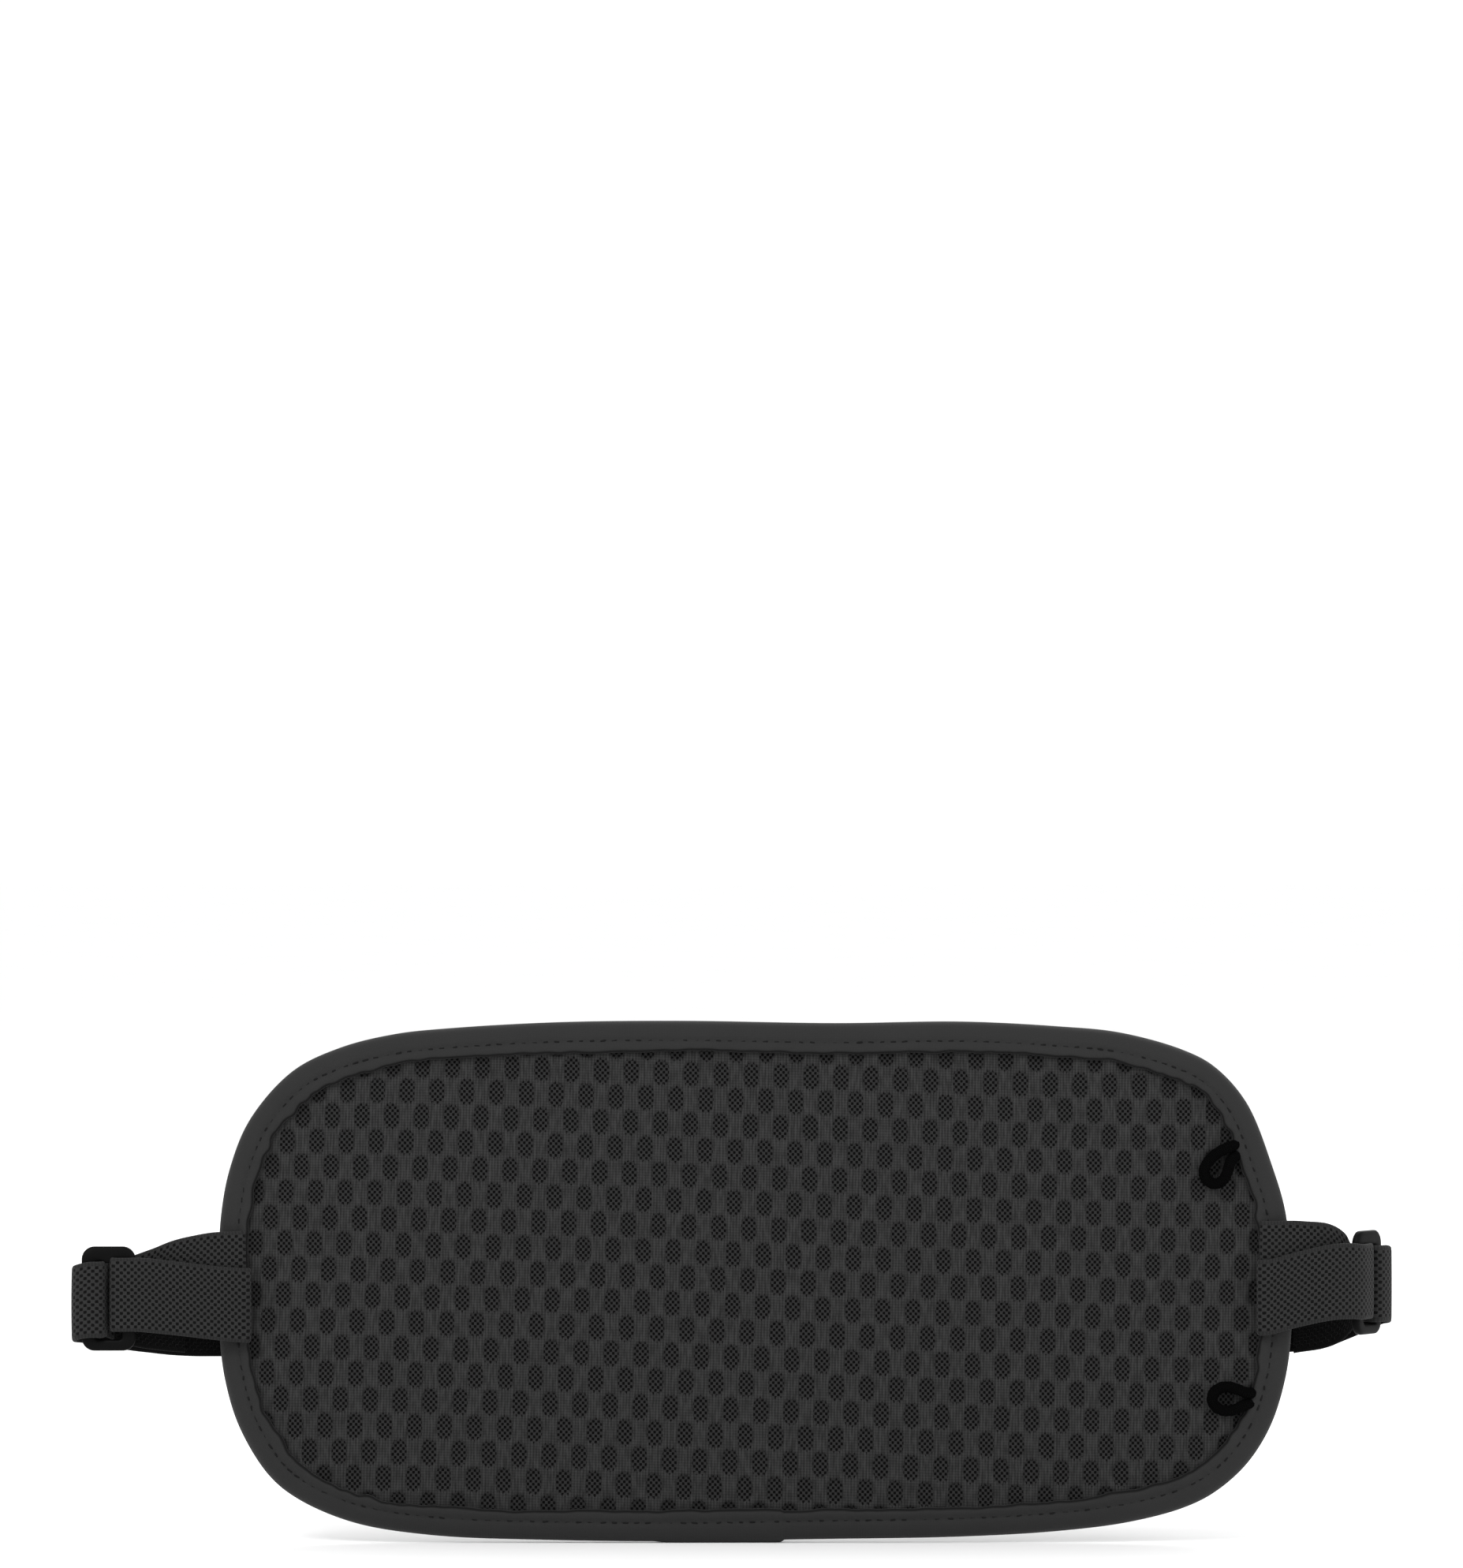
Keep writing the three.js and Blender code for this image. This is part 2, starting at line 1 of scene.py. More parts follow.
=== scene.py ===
"""The looks of a travel money belt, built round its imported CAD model.

Everything is in metres in the CAD frame: +X right as seen from the mesh side, +Y away from the wearer,
+Z up, with the origin in the middle of the mesh face. Shapes are worked out in millimetres.
"""

import json
import math

import bmesh
import bpy
import numpy as np
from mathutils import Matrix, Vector, noise

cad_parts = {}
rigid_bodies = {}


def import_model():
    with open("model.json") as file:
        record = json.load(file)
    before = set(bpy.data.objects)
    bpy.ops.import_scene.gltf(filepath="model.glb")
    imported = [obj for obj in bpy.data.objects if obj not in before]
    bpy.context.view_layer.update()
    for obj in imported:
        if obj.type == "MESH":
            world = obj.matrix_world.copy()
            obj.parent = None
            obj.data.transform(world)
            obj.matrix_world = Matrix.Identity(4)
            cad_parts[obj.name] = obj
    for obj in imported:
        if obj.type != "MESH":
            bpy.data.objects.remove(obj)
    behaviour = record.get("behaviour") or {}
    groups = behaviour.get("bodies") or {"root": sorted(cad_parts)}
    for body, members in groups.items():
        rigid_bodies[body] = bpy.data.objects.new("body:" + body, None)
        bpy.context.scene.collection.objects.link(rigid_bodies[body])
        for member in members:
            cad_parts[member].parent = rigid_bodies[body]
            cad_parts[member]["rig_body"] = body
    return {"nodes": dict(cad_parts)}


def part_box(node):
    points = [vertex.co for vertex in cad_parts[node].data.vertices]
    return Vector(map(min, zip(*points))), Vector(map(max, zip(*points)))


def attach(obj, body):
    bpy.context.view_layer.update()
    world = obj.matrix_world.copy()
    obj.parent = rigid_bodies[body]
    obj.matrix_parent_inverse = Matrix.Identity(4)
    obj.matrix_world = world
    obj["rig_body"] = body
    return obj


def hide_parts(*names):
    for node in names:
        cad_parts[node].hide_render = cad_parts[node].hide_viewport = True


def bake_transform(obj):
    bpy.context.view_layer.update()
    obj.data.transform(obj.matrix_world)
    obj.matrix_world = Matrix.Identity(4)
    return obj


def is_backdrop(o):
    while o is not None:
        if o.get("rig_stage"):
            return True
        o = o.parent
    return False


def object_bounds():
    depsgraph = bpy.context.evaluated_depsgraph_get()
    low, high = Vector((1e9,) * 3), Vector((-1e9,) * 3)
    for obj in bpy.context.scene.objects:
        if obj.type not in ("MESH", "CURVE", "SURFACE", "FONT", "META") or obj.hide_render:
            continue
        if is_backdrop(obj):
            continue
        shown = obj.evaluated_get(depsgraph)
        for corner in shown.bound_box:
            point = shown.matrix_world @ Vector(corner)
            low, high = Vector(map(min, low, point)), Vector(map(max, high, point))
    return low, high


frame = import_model()
cad_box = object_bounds()

MM = 0.001
TAU = 2 * math.pi
rng = np.random.default_rng(7)


# ---- Camera ----

FRAME_HEIGHT = 0.4056  # what the view's height covers at the pouch
CAMERA_DISTANCE = 2.6
CAMERA_X = -0.0061
CAMERA_Z = 0.1288
SENSOR = 36.0


def make_camera():
    data = bpy.data.cameras.new("camera")
    data.sensor_width = SENSOR
    data.lens = SENSOR * CAMERA_DISTANCE / FRAME_HEIGHT
    data.clip_end = 20
    camera = bpy.data.objects.new("camera", data)
    camera.location = (CAMERA_X, -CAMERA_DISTANCE, CAMERA_Z)
    camera.rotation_euler = (math.pi / 2, 0, 0)
    bpy.context.scene.collection.objects.link(camera)
    bpy.context.scene.camera = camera


# ---- Curves and meshes ----


def spline(points, closed=False, per_segment=12):
    """A centripetal Catmull-Rom curve through the points, as the CAD model draws it."""
    p = np.array(points, float)
    n = len(p)
    if closed:
        ends = p[np.arange(-1, n + 2) % n]
    else:
        ends = np.vstack([2 * p[0] - p[1], p, 2 * p[-1] - p[-2]])
    t = np.linspace(0, 1, per_segment, endpoint=False)[:, None]
    spots = []
    for i in range(len(ends) - 3):
        a, b, c, d = ends[i : i + 4]
        gaps = [max(np.linalg.norm(v) ** 0.5, 1e-4) for v in (b - a, c - b, d - c)]
        first = (b - a) / gaps[0] - (c - a) / (gaps[0] + gaps[1]) + (c - b) / gaps[1]
        last = (c - b) / gaps[1] - (d - b) / (gaps[1] + gaps[2]) + (d - c) / gaps[2]
        first, last = first * gaps[1], last * gaps[1]
        spots.append(
            b + first * t + (3 * (c - b) - 2 * first - last) * t**2 + (2 * (b - c) + first + last) * t**3
        )
    line = np.vstack(spots)
    return line if closed else np.vstack([line, p[-1]])


def lengths(line):
    return np.concatenate([[0], np.cumsum(np.linalg.norm(np.diff(line, axis=0), axis=1))])


def respaced(line, count, closed=False):
    """The line again with that many points, evenly spaced along it."""
    if closed:
        line = np.vstack([line, line[0]])
    along = lengths(line)
    at = np.linspace(0, along[-1], count, endpoint=not closed)
    return np.stack([np.interp(at, along, line[:, k]) for k in range(line.shape[1])], axis=1)


def relaxed(line, passes):
    """A line with its kinks eased out and its ends kept."""
    line = line.copy()
    for _ in range(passes):
        line[1:-1] = (line[:-2] + 2 * line[1:-1] + line[2:]) / 4
    return line


def tangents(line, closed=False):
    if closed:
        steps = np.roll(line, -1, axis=0) - np.roll(line, 1, axis=0)
    else:
        steps = np.gradient(line, axis=0)
    return steps / np.maximum(np.linalg.norm(steps, axis=1, keepdims=True), 1e-9)


def wobble(points, scale, seed):
    """Smooth noise from -1 to 1 at each point, for a length scale in the points' own units."""
    shift = Vector((seed * 17.3, seed * 5.1, seed * 9.7))
    return np.array([noise.noise(Vector(p) / scale + shift) for p in points])


def link(name, mesh, material, smooth=True):
    shell = bmesh.new()
    shell.from_mesh(mesh)
    bmesh.ops.recalc_face_normals(shell, faces=shell.faces)
    shell.to_mesh(mesh)
    shell.free()
    obj = bpy.data.objects.new(name, mesh)
    bpy.context.scene.collection.objects.link(obj)
    mesh.materials.append(material)
    mesh.shade_smooth() if smooth else mesh.shade_flat()
    return obj


def raw_mesh(name, vertices, faces, uvs=None):
    """A mesh of points in millimetres. uvs has one (u, v) for each corner, in millimetres."""
    mesh = bpy.data.meshes.new(name)
    mesh.from_pydata((np.asarray(vertices) * MM).tolist(), [], np.asarray(faces).tolist())
    if uvs is not None:
        layer = mesh.uv_layers.new(name="UVMap")
        layer.data.foreach_set("uv", np.asarray(uvs, np.float32).ravel())
    return mesh


def grid_faces(rows, columns, close_rows=False, close_columns=False):
    """Corner indices of the quads of a grid of points, and the same with closing seams unwrapped."""
    i, k = np.meshgrid(
        np.arange(rows if close_rows else rows - 1),
        np.arange(columns if close_columns else columns - 1),
        indexing="ij",
    )
    i, k = i.ravel(), k.ravel()
    open_i = np.stack([i, i + 1, i + 1, i], axis=1)
    open_k = np.stack([k, k, k + 1, k + 1], axis=1)
    return (open_i % rows) * columns + open_k % columns, open_i, open_k


def grid_mesh(name, points, u, v, close_rows=False, close_columns=False, caps=False):
    """A mesh over a (rows, columns, 3) grid of points. u has a value a row and v one a column,
    with one more where that way closes."""
    rows, columns = points.shape[:2]
    faces, open_i, open_k = grid_faces(rows, columns, close_rows, close_columns)
    uv = np.stack([np.asarray(u)[open_i], np.asarray(v)[open_k]], axis=2)
    faces, uv = faces.tolist(), uv.reshape(-1, 2)
    if caps:
        for row, way in ((0, -1), (rows - 1, 1)):
            ring = [row * columns + k for k in range(columns)][::way]
            faces.append(ring)
            corners = [(u[row], v[k]) for k in range(columns)][::way]
            uv = np.vstack([uv, corners])
    mesh = bpy.data.meshes.new(name)
    mesh.from_pydata((points.reshape(-1, 3) * MM).tolist(), [], faces)
    layer = mesh.uv_layers.new(name="UVMap")
    layer.data.foreach_set("uv", np.asarray(uv, np.float32).ravel())
    return mesh


def joined_copies(name, shape_points, shape_faces, places):
    """One mesh of many copies of a small shape: each place is a function from points to points."""
    vertices, faces = [], []
    for k, place in enumerate(places):
        vertices.append(place(shape_points))
        faces.append(np.asarray(shape_faces) + k * len(shape_points))
    return raw_mesh(name, np.vstack(vertices), np.vstack(faces))


# ---- Materials ----


class Shader:
    """A node-based material with one Principled shader, and short ways to add nodes to it."""

    def __init__(self, name, roughness, sheen=0.0, specular=0.5, metallic=0.0, coat=0.0):
        self.material = bpy.data.materials.new(name)
        self.material.use_nodes = True
        self.tree = self.material.node_tree
        self.tree.nodes.clear()
        self.surface = self.tree.nodes.new("ShaderNodeBsdfPrincipled")
        self.surface.inputs["Roughness"].default_value = roughness
        self.surface.inputs["Sheen Weight"].default_value = sheen
        self.surface.inputs["Sheen Roughness"].default_value = 0.5
        self.surface.inputs["Specular IOR Level"].default_value = specular
        self.surface.inputs["Metallic"].default_value = metallic
        self.surface.inputs["Coat Weight"].default_value = coat
        output = self.tree.nodes.new("ShaderNodeOutputMaterial")
        self.tree.links.new(self.surface.outputs[0], output.inputs[0])

    def put(self, socket, value):
        if isinstance(value, bpy.types.NodeSocket):
            self.tree.links.new(value, socket)
        else:
            socket.default_value = value

    def node(self, kind, **inputs):
        made = self.tree.nodes.new(kind)
        for name, value in inputs.items():
            self.put(made.inputs[name.replace("_", " ")], value)
        return made

    def math(self, operation, *values):
        made = self.tree.nodes.new("ShaderNodeMath")
        made.operation = operation
        for socket, value in zip(made.inputs, values):
            self.put(socket, value)
        return made.outputs[0]

    def uv(self, scale=(1, 1)):
        """The piece's U and V in millimetres, each times a scale."""
        made = self.node("ShaderNodeUVMap")
        parts = self.node("ShaderNodeSeparateXYZ", Vector=made.outputs[0])
        return [self.math("MULTIPLY", parts.outputs[k], scale[k]) for k in (0, 1)]

    def place(self, x, y, z=0.0):
        return self.node("ShaderNodeCombineXYZ", X=x, Y=y, Z=z).outputs[0]

    def object_mm(self):
        """Position on the object in millimetres."""
        made = self.node("ShaderNodeTexCoord")
        scaled = self.node("ShaderNodeVectorMath", Vector=made.outputs["Object"])
        scaled.operation = "SCALE"
        scaled.inputs["Scale"].default_value = 1 / MM
        return scaled.outputs[0]

    def noise(self, vector, scale, detail=3.0, roughness=0.5):
        made = self.node("ShaderNodeTexNoise", Vector=vector, Scale=scale, Detail=detail)
        made.inputs["Roughness"].default_value = roughness
        return made.outputs["Fac"]

    def wave(self, value, period, shift=0.0):
        """A sine from -1 to 1 with that period."""
        return self.math("SINE", self.math("MULTIPLY_ADD", value, TAU / period, shift))

    def step(self, value, low, high):
        """0 below low, 1 above high, smooth between."""
        made = self.node("ShaderNodeMapRange", Value=value)
        made.interpolation_type = "SMOOTHSTEP"
        made.inputs["From Min"].default_value = low
        made.inputs["From Max"].default_value = high
        return made.outputs[0]

    def blend(self, share, a, b):
        """a to b by share: two numbers."""
        return self.math("MULTIPLY_ADD", share, self.math("SUBTRACT", b, a), a)

    def colour(self, share, *stops):
        """A colour ramp over evenly spread stops of linear (r, g, b)."""
        made = self.node("ShaderNodeValToRGB", Fac=share)
        ramp = made.color_ramp
        while len(ramp.elements) < len(stops):
            ramp.elements.new(0.5)
        for k, stop in enumerate(stops):
            ramp.elements[k].position = k / (len(stops) - 1)
            ramp.elements[k].color = (*stop, 1)
        return made.outputs[0]

    def finish(self, colour, height=None, depth=0.0, roughness=None):
        """Sets the colour, and a bump of that depth in metres from a height of 0 to 1."""
        self.put(self.surface.inputs["Base Color"], colour)
        if roughness is not None:
            self.put(self.surface.inputs["Roughness"], roughness)
        if height is not None:
            bump = self.node("ShaderNodeBump", Height=height)
            bump.inputs["Distance"].default_value = depth
            self.put(self.surface.inputs["Normal"], bump.outputs[0])
        return self.material


def grey(level, warm=0.0):
    """A linear near-grey from an sRGB level of 0 to 255."""
    c = level / 255
    value = c / 12.92 if c <= 0.04045 else ((c + 0.055) / 1.055) ** 2.4
    return (value * (1 + warm), value, value * (1 - warm))


HOLE_PITCH_X = 7.6  # the air mesh's staggered oval holes
HOLE_PITCH_Z = 6.6
HOLE_HALF_WIDTH = 1.98
HOLE_HALF_HEIGHT = 3.25
HOLE_POWER = 2.8
PAINTED_SHADE_SHIFT = 60.0  # added to a webbing's V where it is painted near black as shade: its inner face, and its short ends by the rings

AIR_MESH_FACE = (grey(28), grey(39), grey(50))
# The holes' tones: the lattice threads' own grey, and near black between them as painted shade of the hole's
# depth.
AIR_MESH_DEEP = (grey(0), grey(3), grey(40))
WEBBING_TONES = (grey(0), grey(9), grey(33), grey(42))


def air_mesh_material():
    s = Shader("air_mesh", roughness=0.9, sheen=0.04, specular=0.08)
    u, v = s.uv()
    grain = s.noise(s.place(u, v), 0.9, 4)
    ragged = s.math("MULTIPLY", s.math("SUBTRACT", grain, 0.5), 1.1)
    teeth = s.math("MULTIPLY_ADD", s.wave(u, 0.75), 0.3, ragged)
    du = s.math("PINGPONG", u, HOLE_PITCH_X / 2)
    dv = s.math("PINGPONG", v, HOLE_PITCH_Z)
    reaches = []
    other = s.math("SUBTRACT", HOLE_PITCH_X / 2, du), s.math("SUBTRACT", HOLE_PITCH_Z, dv)
    for across, up in ((du, dv), other):
        up = s.math("MAXIMUM", s.math("ADD", up, teeth), 0.0)
        across = s.math("POWER", s.math("DIVIDE", across, HOLE_HALF_WIDTH), HOLE_POWER)
        up = s.math("POWER", s.math("DIVIDE", up, HOLE_HALF_HEIGHT), HOLE_POWER)
        reaches.append(s.math("ADD", across, up))
    pit = s.math("SUBTRACT", 1.0, s.step(s.math("MINIMUM", *reaches), 0.72, 1.22))
    dots = s.math("MULTIPLY", s.wave(u, 1.35), s.wave(v, 1.5))
    dots = s.math("MULTIPLY_ADD", s.math("SUBTRACT", grain, 0.5), 0.5, dots)
    lattice = s.math("SUBTRACT", 1.0, s.step(dots, -0.15, 0.5))
    streaks = s.noise(s.place(s.math("MULTIPLY", u, 1.5), s.math("MULTIPLY", v, 0.3)), 1.0, 3)
    wales = s.math("MULTIPLY_ADD", s.wave(u, 0.75), 0.5, 0.5)
    courses = s.math("MULTIPLY_ADD", s.wave(v, 0.7), 0.5, 0.5)
    knit = s.math("MULTIPLY_ADD", wales, 0.6, s.math("MULTIPLY", courses, 0.4))
    knit = s.math("MULTIPLY_ADD", streaks, 0.7, s.math("MULTIPLY", knit, 0.3))
    face = s.colour(s.step(knit, 0.25, 0.75), *AIR_MESH_FACE)
    # Partly painted shade: in the holes the lattice threads keep a grey of their own, and the gaps between
    # them go near black for the shaded depth behind.
    deep = s.colour(lattice, *AIR_MESH_DEEP)
    mixed = s.node("ShaderNodeMix")
    mixed.data_type = "RGBA"
    s.put(mixed.inputs[0], pit)
    s.put(mixed.inputs[6], face)
    s.put(mixed.inputs[7], deep)
    height = s.blend(pit, s.math("MULTIPLY_ADD", knit, 0.35, 0.65), s.math("MULTIPLY", lattice, 0.45))
    return s.finish(mixed.outputs[2], height, 0.00022)


def webbing_material():
    s = Shader("elastic_webbing", roughness=0.88, sheen=0.05, specular=0.1)
    u, v = s.uv()
    # Painted shade: where V has been shifted past 30 (the inner face and the shaded short ends) the tone is
    # taken down almost to black.
    inner = s.step(v, 30, 31)
    v = s.math("SUBTRACT", v, s.math("MULTIPLY", inner, PAINTED_SHADE_SHIFT))
    across = s.math("ABSOLUTE", v)
    plain = s.step(across, 8.5, 9.0)
    grain = s.noise(s.place(u, v), 1.3, 3)
    dots = s.math("MULTIPLY", s.wave(u, 1.8), s.wave(v, 1.75))
    dots = s.math("MULTIPLY_ADD", s.math("SUBTRACT", grain, 0.5), 0.7, dots)
    eye = s.math("SUBTRACT", 1.0, s.step(dots, -0.1, 0.45))
    ribs = s.math("MULTIPLY_ADD", s.wave(u, 0.8), 0.12, 0.7)
    height = s.blend(plain, eye, ribs)
    mottled = s.math("MULTIPLY_ADD", grain, 0.2, s.math("MULTIPLY", height, 0.8))
    mottled = s.blend(inner, mottled, s.math("MULTIPLY", mottled, 0.12))
    colour = s.colour(mottled, *WEBBING_TONES)
    return s.finish(colour, height, 0.0003)


def binding_material():
    s = Shader("binding_tape", roughness=0.8, sheen=0.05, specular=0.12)
    u, v = s.uv()
    grain = s.noise(s.place(u, v), 2.2, 4)
    ribs = s.math("MULTIPLY_ADD", s.wave(v, 0.32), 0.5, 0.5)
    threads = s.math("MULTIPLY_ADD", s.wave(u, 0.4), 0.5, 0.5)
    weave = s.math("MULTIPLY_ADD", ribs, 0.5, s.math("MULTIPLY", threads, 0.5))
    broad = s.noise(s.place(u, v), 0.06, 2)
    tone = s.math("MULTIPLY_ADD", broad, 0.5, s.math("MULTIPLY", grain, 0.5))
    tone = s.math("MULTIPLY_ADD", weave, 0.25, s.math("MULTIPLY", tone, 0.75))
    colour = s.colour(tone, grey(30), grey(36), grey(41))
    height = s.math("MULTIPLY_ADD", weave, 0.6, s.math("MULTIPLY", grain, 0.4))
    # Painted shade: a near-black band along the tape's inner edge on the mesh side, where the tape turns
    # under.
    under = s.math("SUBTRACT", 1.0, s.step(v, 1.1, 1.75))
    shaded = s.node("ShaderNodeMix")
    shaded.data_type = "RGBA"
    s.put(shaded.inputs[0], under)
    s.put(shaded.inputs[6], colour)
    s.put(shaded.inputs[7], (*grey(6), 1))
    return s.finish(shaded.outputs[2], height, 0.00006)


def woven_material(name, low, high, pitch, depth, roughness=0.8, twill=0.0):
    """A weave of threads at a pitch in millimetres: plain, or with a twill's diagonal."""
    s = Shader(name, roughness=roughness, sheen=0.05, specular=0.18)
    parts = s.node("ShaderNodeSeparateXYZ", Vector=s.object_mm())
    x, z = parts.outputs[0], parts.outputs[2]
    grain = s.noise(s.place(x, 0.0, z), 1.4, 3)
    loose = s.math("MULTIPLY", s.math("SUBTRACT", grain, 0.5), 0.35)
    warp = s.wave(s.math("ADD", s.math("MULTIPLY_ADD", z, twill, x), loose), pitch)
    weft = s.wave(s.math("ADD", z, loose), pitch)
    weave = s.math("MULTIPLY_ADD", s.math("MULTIPLY", warp, weft), 0.5, 0.5)
    slubs = s.noise(s.place(s.math("MULTIPLY", x, 0.25), 0.0, s.math("MULTIPLY", z, 2.5)), 1.0, 2)
    broad = s.noise(s.place(x, 0.0, z), 0.05, 2)
    tone = s.math("MULTIPLY_ADD", weave, 0.45, s.math("MULTIPLY", grain, 0.2))
    tone = s.math("MULTIPLY_ADD", slubs, 0.25, tone)
    tone = s.math("MULTIPLY_ADD", broad, 0.12, tone)
    middle = (low + high) / 2
    return s.finish(s.colour(tone, grey(low), grey(middle), grey(high)), weave, depth)


def coil_material():
    s = Shader("zip_coil", roughness=0.42, specular=0.5)
    grain = s.noise(s.object_mm(), 0.8, 3)
    rough = s.math("MULTIPLY_ADD", grain, 0.25, 0.3)
    return s.finish(s.colour(grain, grey(20), grey(34)), grain, 0.00002, rough)


def enamel_material():
    s = Shader("zip_metal", roughness=0.32, specular=0.5, metallic=0.6, coat=0.4)
    grain = s.noise(s.object_mm(), 0.6, 4)
    worn = s.step(grain, 0.62, 0.78)
    rough = s.math("MULTIPLY_ADD", grain, 0.25, 0.22)
    return s.finish(s.colour(worn, grey(24), grey(46)), grain, 0.00002, rough)


def moulding_material():
    s = Shader("moulding", roughness=0.5, specular=0.06)
    place = s.object_mm()
    speckle = s.noise(place, 3.5, 2)
    broad = s.noise(place, 0.12, 3)
    rough = s.math("MULTIPLY_ADD", broad, 0.2, 0.38)
    tone = s.math("MULTIPLY_ADD", speckle, 0.5, s.math("MULTIPLY", broad, 0.5))
    return s.finish(s.colour(tone, grey(3), grey(9)), speckle, 0.000035, rough)


def cord_material():
    s = Shader("elastic_cord", roughness=0.95, sheen=0.0, specular=0.03)
    u, v = s.uv()
    braid = s.math("MULTIPLY", s.wave(s.math("ADD", u, v), 0.9), s.wave(s.math("SUBTRACT", u, v), 0.9))
    fuzz = s.noise(s.place(u, v), 2.5, 4)
    height = s.math("MULTIPLY_ADD", braid, 0.35, fuzz)
    return s.finish(s.colour(height, grey(1), grey(3), grey(7)), height, 0.00025)


def thread_material():
    # Partly painted shade: the thread is coloured well darker than the tape it sews, for the shade of the
    # needle holes and dips it lies in.
    s = Shader("sewing_thread", roughness=0.7, sheen=0.0, specular=0.12)
    grain = s.noise(s.object_mm(), 3.0, 2)
    return s.finish(s.colour(grain, grey(6), grey(20)), grain, 0.00003)


def floor_material():
    s = Shader("floor", roughness=0.9, specular=0.1)
    grain = s.noise(s.object_mm(), 0.02, 2)
    return s.finish(s.colour(grain, (0.92, 0.92, 0.92), (0.95, 0.95, 0.95)))


materials = {
    "air_mesh": air_mesh_material(),
    "elastic_webbing": webbing_material(),
    "binding_tape": binding_material(),
    "pouch_fabric": woven_material("pouch_fabric", 22, 56, 1.1, 0.00016),
    "lining": woven_material("lining", 52, 72, 0.5, 0.00004, roughness=0.6),
    "zip_tape": woven_material("zip_tape", 12, 38, 0.9, 0.00014, twill=1.0),
    "zip_coil": coil_material(),
    "zip_metal": enamel_material(),
    "moulding": moulding_material(),
    "elastic_cord": cord_material(),
    "thread": thread_material(),
}


def settle(obj, body, slot, *nodes):
    """The piece rides on a body and stands for CAD nodes. slot is not used."""
    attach(obj, body)
    if nodes:
        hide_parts(*nodes)
    return obj


# ---- The pouch's edge ----

POUCH_EDGE = [
    (-20, 67.2), (-52, 66.8), (-80, 65.2), (-93, 63.8), (-107.2, 60.3), (-119.6, 54.2),
    (-130.5, 41.9), (-135.6, 29.7), (-138, 17.4), (-138.7, 0), (-138.4, -14), (-137, -25.4),
    (-133.3, -37.6), (-125.8, -49.9), (-118.4, -56), (-104.1, -62.1), (-84, -65.4), (-52, -66.7),
    (-16, -67), (13, -66.5), (53.5, -65.8), (78, -64.4), (96.4, -62.1), (110.7, -58.4),
    (118.8, -54.4), (127, -47.2), (133.1, -37.6), (137, -25.4), (138.6, -13), (138.4, 2),
    (137.2, 17.4), (133.7, 29.7), (127, 46.2), (118.8, 55.4), (110.7, 59.7), (94.3, 64.2),
    (78, 65.8), (53.5, 67), (20.9, 66.6),
]
EDGE_COUNT = 1500

edge_line = respaced(spline(POUCH_EDGE, closed=True), EDGE_COUNT, closed=True)
edge_inward = tangents(edge_line, closed=True)[:, ::-1] * (-1, 1)
edge_along = np.arange(EDGE_COUNT + 1) * np.linalg.norm(edge_line[1] - edge_line[0])


def edge_inset(distance):
    """The edge moved inwards, by one distance or by one for each of its points."""
    return edge_line + edge_inward * np.reshape(distance, (-1, 1))


def distance_inside(x, z):
    """How far points lie inside the pouch's edge, in millimetres."""
    coarse = edge_line[::5]
    inward = edge_inward[::5]
    found = np.empty(len(x))
    for start in range(0, len(x), 4000):
        part = slice(start, start + 4000)
        dx = x[part, None] - coarse[None, :, 0]
        dz = z[part, None] - coarse[None, :, 1]
        nearest = np.argmin(dx * dx + dz * dz, axis=1)
        rows = np.arange(len(nearest))
        found[part] = dx[rows, nearest] * inward[nearest, 0] + dz[rows, nearest] * inward[nearest, 1]
    return found


# ---- Elastic cord loops ----

CORD_DIAMETER = 2.7
CORD_Y = -0.3 - CORD_DIAMETER / 2
CORD_LOOPS = {
    "upper_cord_loop": [
        (122.0, 34.7), (120.1, 33.8), (117.4, 31.5), (116.0, 28.8), (116.7, 26.4),
        (119.0, 25.3), (121.2, 26.5), (122.3, 29.0), (122.8, 31.0),
    ],
    "lower_cord_loop": [
        (126.4, -28.4), (124.6, -27.6), (122.0, -27.0), (119.3, -27.7), (118.0, -30.0),
        (119.2, -32.4), (121.6, -33.3), (124.0, -33.0), (125.8, -32.0),
    ],
}
# Where each end of a loop dives under the binding and turns along it, as (x, y, z).
CORD_ROOTS = {
    "upper_cord_loop": (
        [(123.6, -0.9, 35.3), (125.5, 0.9, 36.2), (126.0, 1.3, 39.6)],
        [(123.9, -0.9, 32.5), (125.9, 0.9, 32.9), (128.2, 1.3, 30.8)],
    ),
    "lower_cord_loop": (
        [(127.9, -0.9, -28.8), (129.8, 0.9, -28.4), (131.4, 1.3, -25.4)],
        [(127.2, -0.9, -31.6), (129.1, 0.9, -32.0), (129.6, 1.3, -35.0)],
    ),
}
# Two spots across each loop's hinge, one on the pouch's side and one on the loop's; make_cord_loop reads them
# and does nothing with them.
CORD_BENDS = {
    "upper_cord_loop": ((124.6, -1.4, 34.4), (121.8, -1.4, 33.3)),
    "lower_cord_loop": ((128.3, -1.4, -30.3), (125.3, -1.4, -30.0)),
}


